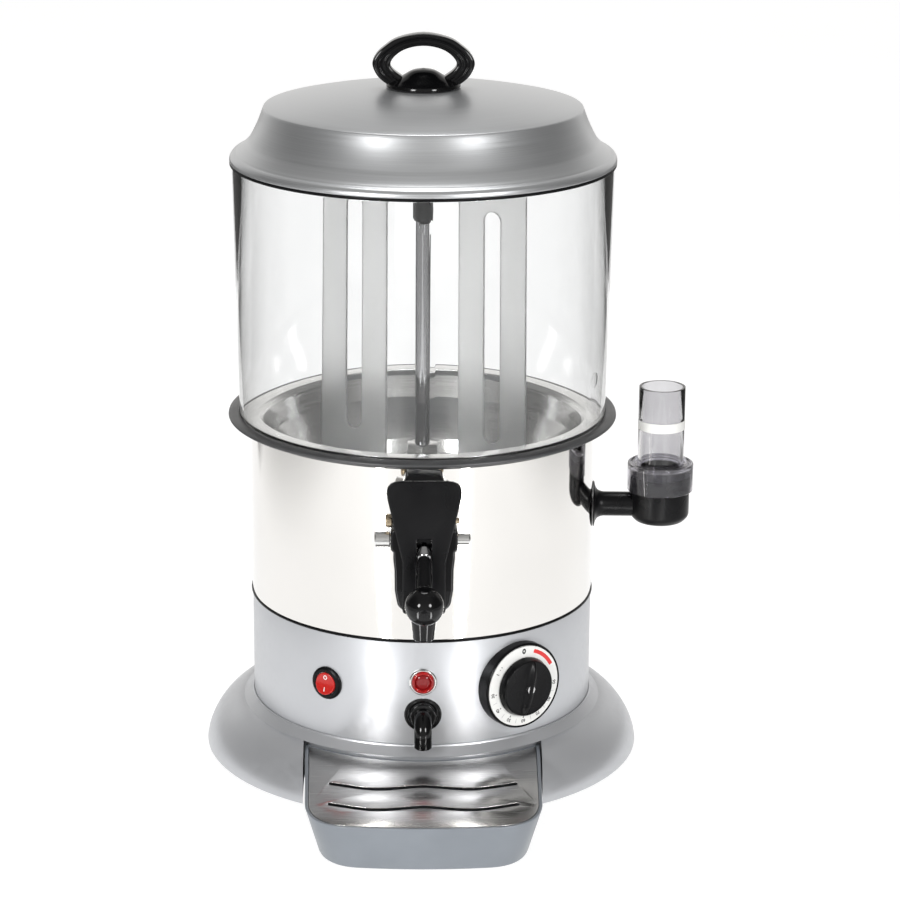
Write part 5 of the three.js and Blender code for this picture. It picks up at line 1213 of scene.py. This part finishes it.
# %% Thermostat
DIAL_TURN, DIAL_Z, DIAL_Y = 33, 76.2, -125.3
rim_line = [
    (0, 0), (10, 0), (10, 3), (30, 3), (30, 17.3), (29.3, 18.5), (29.0, 18.5), (28.7, 17.8), (28.7, 16.3),
    (5, 16.3), (5, 14), (0, 14)]
rim_soft = [0, 0, 0, 0.4, 1.1, 0.4, 0.2, 0.3, 0.2, 0, 0, 0]
rim_shape = turned(rim_line, rim_soft, 144, forward, (0, DIAL_Y + 18.5, DIAL_Z), 5, False)
bezel = make_piece("dial_bezel", rim_shape, black_satin, "machine", "thermostat_bezel", DIAL_TURN)
carve(bezel, [block((-0.8, DIAL_Y - 1, DIAL_Z + 28), (0.8, DIAL_Y + 2.2, DIAL_Z + 29.6))], DIAL_TURN)
face_line = [(6, 0), (28.2, 0), (28.2, 1.6), (6, 1.6)]
face_shape = turned(face_line, 0.2, 144, forward, (0, DIAL_Y + 1.9, DIAL_Z))
make_piece("dial_plate", face_shape, dial_white, "knob", "dial_face", DIAL_TURN)
print("dial bezel faces", len(bezel.data.polygons))

# %% [markdown]
# The marks on the face are thin prints: a 0, a red arc beside it for the hottest setting, seven
# numbers with their ticks and finer ticks between them. The figures are made with Blender's own
# font, and every mark is turned to its place on the ring.

# %% Print on the dial face


def on_the_face(x, y, z):
    return x, DIAL_Y + 0.28 - z, y + DIAL_Z


def figure(text, size):
    """A flat figure in the middle of the sheet."""
    curve = bpy.data.curves.new("figure", "FONT")
    curve.body = text
    curve.size = size
    curve.align_x, curve.align_y = "CENTER", "CENTER"
    curve.extrude = 0.02
    curve.offset = 0.05
    curve.resolution_u = 4
    return flat_form(curve, 0.02)


def round_the_dial(shape, angle, radius):
    """Sets a mark at a radius and turns it clockwise from the top."""
    points, faces = shape
    c, s = cos(radians(angle)), sin(radians(angle))
    return [(x * c + (y + radius) * s, (y + radius) * c - x * s, z) for x, y, z in points], faces


def flat_mark(outlines):
    return plate(outlines, 0.04, 0.004, 1)


def tick(width, length):
    return flat_mark([[(-width / 2, 0), (width / 2, 0), (width / 2, length), (-width / 2, length)]])


def dial_print(name, shapes, look):
    make_piece(name, moved(joined(*shapes), lie=on_the_face), look, "knob", turn=DIAL_TURN)


zero_outer = [(1.5 * x, 1.9 * y) for x, y in round_section(1, 40)]
zero_inner = [(0.34 * x, 0.4 * y) for x, y in zero_outer]
black_marks = [round_the_dial(flat_mark([zero_outer, zero_inner]), 0, 24.8)]
fine_marks = []
for number in range(7):
    angle = 95 + 170 * number / 6
    black_marks.append(round_the_dial(tick(0.55, 1.3), angle, 21.9))
    black_marks.append(round_the_dial(figure(str(90 - 10 * number), 3.3), angle, 25.1))
    if number < 6:
        fine_marks.append(round_the_dial(tick(0.22, 3.2), angle + 85 / 6, 23.2))
for angle, length in ((-52, 0.7), (-47, 0.9), (-60, 2.3)):
    black_marks.append(round_the_dial(moved(tick(0.6, length), (0, -length / 2, 0)), angle, 24.6))
dial_print("dial_figures", black_marks, ink_black)
dial_print("dial_fine_ticks", fine_marks, ink_grey)


def dial_arc(radius, angles):
    return [(radius * sin(radians(a)), radius * cos(radians(a))) for a in angles]


hot_outline = softened(dial_arc(26.3, range(19, 65, 2)) + dial_arc(23.6, range(63, 18, -2)), 0.9, 3)
dial_print("dial_hot_arc", [flat_mark([hot_outline])], ink_red)
print("marks on the dial", len(black_marks) + len(fine_marks) + 1)

# %% [markdown]
# The knob's skirt is turned, with a shallow hollow in its top, and the leaf-shaped ridge grows out
# of that hollow. Seen along the face, the ridge stands only a few millimetres above the skirt.

# %% Thermostat knob
skirt_line = [(0, 0), (20.4, 0), (20.7, 0.4), (19.4, 5.2), (18.8, 5.9), (17.8, 5.6), (12, 5.1), (0, 5)]
skirt_soft = [0, 0.2, 0.4, 0.6, 0.6, 0.8, 3, 0]
knob_skirt = turned(skirt_line, skirt_soft, 144, forward, (0, DIAL_Y - 0.3, DIAL_Z), 4, False)
RIDGE_TURN = radians(12)


def ridge_row(share):
    """The ridge's section at a share of its half length."""
    swell = sqrt(max(0.0, 1 - share * share))
    base = 1.6 + 6.6 * swell
    crest = 0.5 + 0.3 * swell
    high = 6.2 + 3.7 * (1 - abs(share) ** 4)
    flank = crest + (base - crest) * 0.3
    half = softened([(base, 4.2), (flank, 6), (crest, high), (0, high + 0.05)], [0, 5, 0.6, 0], 6, False)
    length = 19 * share
    row = []
    for x, z in half + [(-x, z) for x, z in reversed(half[:-1])]:
        aside = x * cos(RIDGE_TURN) + length * sin(RIDGE_TURN)
        up = length * cos(RIDGE_TURN) - x * sin(RIDGE_TURN)
        row.append((aside, DIAL_Y - 0.3 - z, DIAL_Z + up))
    return row


ridge = skinned([ridge_row(-1 + step / 14) for step in range(29)])
knob_shape = joined(knob_skirt, ridge)
make_piece("dial_knob", knob_shape, black_satin, "knob", "thermostat_knob", DIAL_TURN)
print("thermostat made")

# %% [markdown]
# At the back the mains cable would leave through a gland, which is a collar with a rounded neck.

# %% Cable gland
gland_line = [
    (4, 0), (10, 0), (10, 9.7), (9.2, 10.5), (7, 10.8), (7, 15.4), (6, 16.5), (4.6, 16.5), (4, 15.9)]
gland_soft = [0, 0, 0.5, 0.5, 0.6, 0.8, 0.5, 0.3, 0.3]
gland_shape = turned(gland_line, gland_soft, 64, forward, (0, -114, 54), 4)
make_piece("gland_collar", gland_shape, black_satin, "machine", "cable_gland", 180)
print("gland from the wall out to", gland_line[6][1])

# %% [markdown]
# The drip tray is an open moulding: a back that follows the housing, straight sides, a bowed front
# and a wall that leans inwards towards the bottom. Its outline is drawn once at the rim. Every
# lower level is the same outline drawn in a little, and the inside is made of the same levels,
# drawn in further. The skin over all of them is the tray.

# %% Drip tray
TRAY_TOP, TRAY_HEIGHT, TRAY_WIDE, TRAY_FRONT = 29.0, 32.5, 80.4, 236.0
BAY_PLACE, TRAY_DEEP, TRAY_BACK = -89.35, 146.65, 121.2


def bent(start, middle, stop, steps=16):
    """A bend from the start to the stop that leans towards the middle."""
    shares = [k / steps for k in range(1, steps + 1)]
    return [
        tuple(a * (1 - t) ** 2 + b * 2 * t * (1 - t) + c * t * t for a, b, c in zip(start, middle, stop))
        for t in shares]


def tray_level(inset, level):
    """The tray's outline at a height, drawn in by the inset."""
    half, front, corner = TRAY_WIDE - inset, TRAY_FRONT - inset, 34 - inset
    side = front - 5 - corner
    right = [(half, BAY_PLACE), (half * 0.965, -side)]
    right += bent(right[-1], (half * 0.93, 5 - front), (half - corner, 2.5 - front))
    right += bent(right[-1], (0.5 * (half - corner), -front), (0, -front - 0.1), 10)
    draw = 9 * (TRAY_TOP - level) / TRAY_HEIGHT
    drawn = [
        (x * (1 - draw / TRAY_WIDE), (y - BAY_PLACE) * (1 - draw / TRAY_DEEP) + BAY_PLACE) for x, y in right]
    back = TRAY_BACK + min(inset, 2.4)
    (x0, y0), (x1, y1) = drawn[0], drawn[1]
    low, high = 0.0, 1.0
    for _ in range(40):
        t = (low + high) / 2
        if hypot(x0 + (x1 - x0) * t, y0 + (y1 - y0) * t) < back:
            low = t
        else:
            high = t
    start = (x0 + (x1 - x0) * low, y0 + (y1 - y0) * low)
    drawn[0] = start
    turn = asin(start[0] / back)
    arc = [(back * sin(turn * s), -back * cos(turn * s)) for s in (-1 + k / 20 for k in range(1, 40))]
    line = drawn + [(-x, y) for x, y in reversed(drawn[:-1])] + arc
    return [(x, y, level) for x, y in line]


tray_levels = [
    (2.2, -3.5), (0.9, -3.3), (0.25, -2.7), (0, -1.8), (0, 14), (0, 28.1), (0.12, 28.6), (0.45, 28.95),
    (0.9, 29), (1.7, 29), (2.1, 28.9), (2.35, 28.6), (2.4, 28.2), (2.4, 27.3), (2.6, 27.2), (5, 27.2),
    (5.3, 27.1), (5.4, 26.8), (5.4, 14), (5.5, 1.8), (5.9, 0), (7, -0.9), (8.4, -1.1)]
tray_rows = [tray_level(inset, level) for inset, level in tray_levels]
make_piece("tray_moulding", skinned(tray_rows), tray_grey, "tray", "drip_tray", sharp=40)
print("tray levels", len(tray_rows), "points each", len(tray_rows[0]))

# %% [markdown]
# The grille is a polished sheet that rests on a ledge inside the rim, with two wavy slots. The
# sheet and its slots are one filled curve with a thickness and a fine bevel, which gives the thin
# bright and dark lines round every edge.

# %% Drip grille
SLOT_SHARES = [(-1, 0), (-0.53, 1), (-0.12, 0.62), (0, 0.5), (0.12, 0.62), (0.53, 1), (1, 0)]


def wavy_slot(place):
    middle = flowing([(62.4 * across_share, -9.5 * dip) for across_share, dip in SLOT_SHARES], 8)
    near = [(x, y - 2.6 - place) for x, y in middle]
    far = [(x, y + 2.6 - place) for x, y in reversed(middle)]
    radii = [1.6] + [0] * (len(middle) - 2) + [1.6]
    return softened(near + far, radii + radii, 4)


sheet_line = [(x, y) for x, y, z in tray_level(2.7, 28.2)]
sheet = plate([sheet_line, wavy_slot(161), wavy_slot(195)], 1.5, 0.22, 2)
make_piece("grille_sheet", moved(sheet, (0, 0, 27.5)), grille_steel, "grille", "drip_grille", sharp=40)
print("grille outline points", len(sheet_line))

# %% [markdown]
# The stage is a pale light table, as product studios use for a machine on pure white: the floor
# glows a little by itself, so it stays white in the picture and the shadows stay faint. Round
# polished metal needs something dark to mirror, though. Studios stand black cards out of the
# picture for it. Here two thin gauzes lie on the table that only reflections see. One darkens both
# sides and the table far behind on the left and the right, and the clear walls see it too, which
# draws the dark lines beside their edges. The other is a lane in front, for the line on the tube.

# %% Floor and gauzes
FLOOR_REACH, FLOOR_TONE, FLOOR_GLOW = 6, (0.3, 0.3, 0.3), 0.84


def on_the_table(name, paint, height=0.0):
    """A wide sheet that lies on the table."""
    mesh = bpy.data.meshes.new(name)
    corners = [(-1, -1), (1, -1), (1, 1), (-1, 1)]
    mesh.from_pydata([(FLOOR_REACH * x, FLOOR_REACH * y, 0) for x, y in corners], [], [(0, 1, 2, 3)])
    mesh.materials.append(paint)
    sheet = bpy.data.objects.new(name, mesh)
    scene.collection.objects.link(sheet)
    sheet.location.z = height
    return sheet


floor_paint = new_finish("floor_paint", "white", 0.0, 0.7, FLOOR_TONE)
floor_patches = noise(floor_paint, own_coordinates(floor_paint), 2)
vary_color(floor_paint, floor_patches, (0.29, 0.29, 0.29), (0.31, 0.31, 0.31))
floor_shader = floor_paint.node_tree.nodes["Principled BSDF"]
floor_shader.inputs["Emission Color"].default_value = (1, 1, 1, 1)
floor_shader.inputs["Emission Strength"].default_value = FLOOR_GLOW
on_the_table("studio_floor", floor_paint)


def eased(look, source, low, high, at_low, at_high):
    """Turns a measure into a share that rises or falls softly between two limits."""
    limits = {"From Min": low, "From Max": high, "To Min": at_low, "To Max": at_high}
    node = add_node(look, "ShaderNodeMapRange", limits, interpolation_type="SMOOTHSTEP")
    wire(look, source, node.inputs["Value"])
    return node.outputs["Result"]


def times(look, first, second):
    return worked_out(look, "MULTIPLY", first, second)


def side_shade(look, x, y):
    """Less glow on both sides, and two dark wings behind the machine."""
    aside = worked_out(look, "ABSOLUTE", x)
    at_sides = times(look, eased(look, aside, 0.42, 0.75, 0, 0.6), eased(look, y, 0.4, 1.2, 1, 0))
    widening = worked_out(look, "MULTIPLY_ADD", y, -0.165, aside)
    wings = times(look, eased(look, widening, 0.36, 0.42, 0, 1), eased(look, y, 0.42, 0.6, 0, 1))
    return worked_out(look, "ADD", at_sides, wings, clamp=True)


def lane_shade(look, x, y):
    """A narrow dark lane in front, for the fine dark line down the middle of round steel."""
    centred = worked_out(look, "ABSOLUTE", worked_out(look, "ADD", x, 0.018))
    return times(look, eased(look, y, -0.62, -0.5, 1, 0), eased(look, centred, 0.1, 0.24, 1, 0))


def gauze(name, height, pattern, seen_through):
    """A dark gauze over the table that only reflections see, and clear walls too if asked."""
    paint = new_finish(name + "_paint", "white", 0.0, 0.7, FLOOR_TONE)
    places = add_node(paint, "ShaderNodeSeparateXYZ")
    wire(paint, own_coordinates(paint), places.inputs[0])
    nodes = paint.node_tree.nodes
    clear = add_node(paint, "ShaderNodeBsdfTransparent")
    blend = add_node(paint, "ShaderNodeMixShader")
    wire(paint, pattern(paint, places.outputs["X"], places.outputs["Y"]), blend.inputs[0])
    wire(paint, clear.outputs[0], blend.inputs[1])
    wire(paint, nodes["Principled BSDF"].outputs[0], blend.inputs[2])
    wire(paint, blend.outputs[0], nodes["Material Output"].inputs["Surface"])
    sheet = on_the_table(name, paint, height)
    sheet.visible_camera = False
    sheet.visible_diffuse = False
    sheet.visible_shadow = False
    sheet.visible_transmission = seen_through


gauze("side_gauze", 0.0005, side_shade, True)
gauze("lane_gauze", 0.001, lane_shade, False)
print("light table set")

# %% [markdown]
# The room above the table is a soft grey that is darkest at both sides, and a pale backdrop
# stands low behind the machine. Only its light and its mirror images show, so it is made of
# brightness alone, worked out from the direction.

# %% Room
room = bpy.data.worlds.new("studio")
scene.world = room
room.use_nodes = True
way = add_node(room, "ShaderNodeTexCoord")
directions = add_node(room, "ShaderNodeSeparateXYZ")
wire(room, way.outputs["Generated"], directions.inputs[0])
way_x, way_y, way_z = directions.outputs
sideways = eased(room, worked_out(room, "ABSOLUTE", way_x), 0.4, 0.95, 1.0, 0.22)
plain_room = times(room, eased(room, way_z, 0.1, 0.8, 0.6, 0.4), eased(room, way_y, -0.3, 0.5, 1.0, 0.8))
backdrop = times(room, eased(room, way_y, 0.2, 0.6, 0.0, 0.55), eased(room, way_z, 0.35, 0.6, 1.0, 0.0))
strength = times(room, sideways, worked_out(room, "ADD", plain_room, backdrop))
room_light = room.node_tree.nodes["Background"]
room_light.inputs["Color"].default_value = (1.0, 0.985, 0.965, 1)
wire(room, strength, room_light.inputs["Strength"])
print("room set")

# %% [markdown]
# Two soft boxes stand at the front left and the front right. They give the black mouldings their
# pairs of highlights and the lacquered housing its two bright fields. A third hangs above and
# slightly behind, and it lights the lid and the pot. Upright walls mirror the table, not the room,
# so two strips in the table give some of them their upright highlights.

# %% Lamps


def soft_box(name, place, aim, width, height, power):
    lamp = bpy.data.lights.new(name, "AREA")
    lamp.shape = "ELLIPSE"
    lamp.size, lamp.size_y = width, height
    lamp.energy = power
    holder = bpy.data.objects.new(name, lamp)
    scene.collection.objects.link(holder)
    holder.location = place
    holder.rotation_euler = (Vector(aim) - Vector(place)).to_track_quat("-Z", "Y").to_euler()
    return holder


soft_box("soft_box_left", (-1.05, -1.6, 0.85), (0, 0, 0.25), 0.5, 0.6, 20)
soft_box("soft_box_right", (1.05, -1.6, 0.85), (0, 0, 0.25), 0.5, 0.6, 17)
soft_box("soft_box_top", (0, 0.5, 1.9), (0, 0, 0.3), 0.9, 0.6, 9)
strip_receivers = bpy.data.collections.new("lit_by_table_strips")
lit_names = ["tap_casting", "tap_cover", "ball_grip", "stem_sleeve", "drain_casting", "gauge_elbow_casting"]
for name in lit_names + ["housing_shell", "tank_band"]:
    strip_receivers.objects.link(bpy.data.objects[name])
for side in (-1, 1):
    strip = soft_box("table_strip", (side * 0.218 - 0.018, -0.414, 0.003), (0, 0, 1), 0.05, 0.45, 0.7)
    strip.rotation_euler = (pi, 0, side * radians(33.5))
    strip.visible_camera = False
    strip.light_linking.receiver_collection = strip_receivers
print("lamps placed")

# %% [markdown]
# The photograph was taken from about two metres, a little above the machine, with a long lens.
# The lens, the height and the downward tilt were worked out from how the round rims flatten
# from the bottom to the top, and the small shift puts the machine left of the middle.

# %% Camera
camera_data = bpy.data.cameras.new("camera")
camera = bpy.data.objects.new("camera", camera_data)
scene.collection.objects.link(camera)
scene.camera = camera
CAMERA_DISTANCE, CAMERA_HEIGHT = 2037, 824
CAMERA_TILT, CAMERA_ROLL, MACHINE_YAW = 16.75, -0.2, -0.5
camera_data.sensor_width = 36
camera_data.lens = 122.4
camera_data.shift_x = 0.0274
camera_data.clip_start = 0.05
camera.location = to_model((0, -CAMERA_DISTANCE, CAMERA_HEIGHT), MACHINE_YAW)
camera.rotation_euler = [radians(turn) for turn in (90 - CAMERA_TILT, CAMERA_ROLL, MACHINE_YAW)]
scene.view_settings.view_transform = "Standard"
print("camera at", [round(v, 3) for v in camera.location])
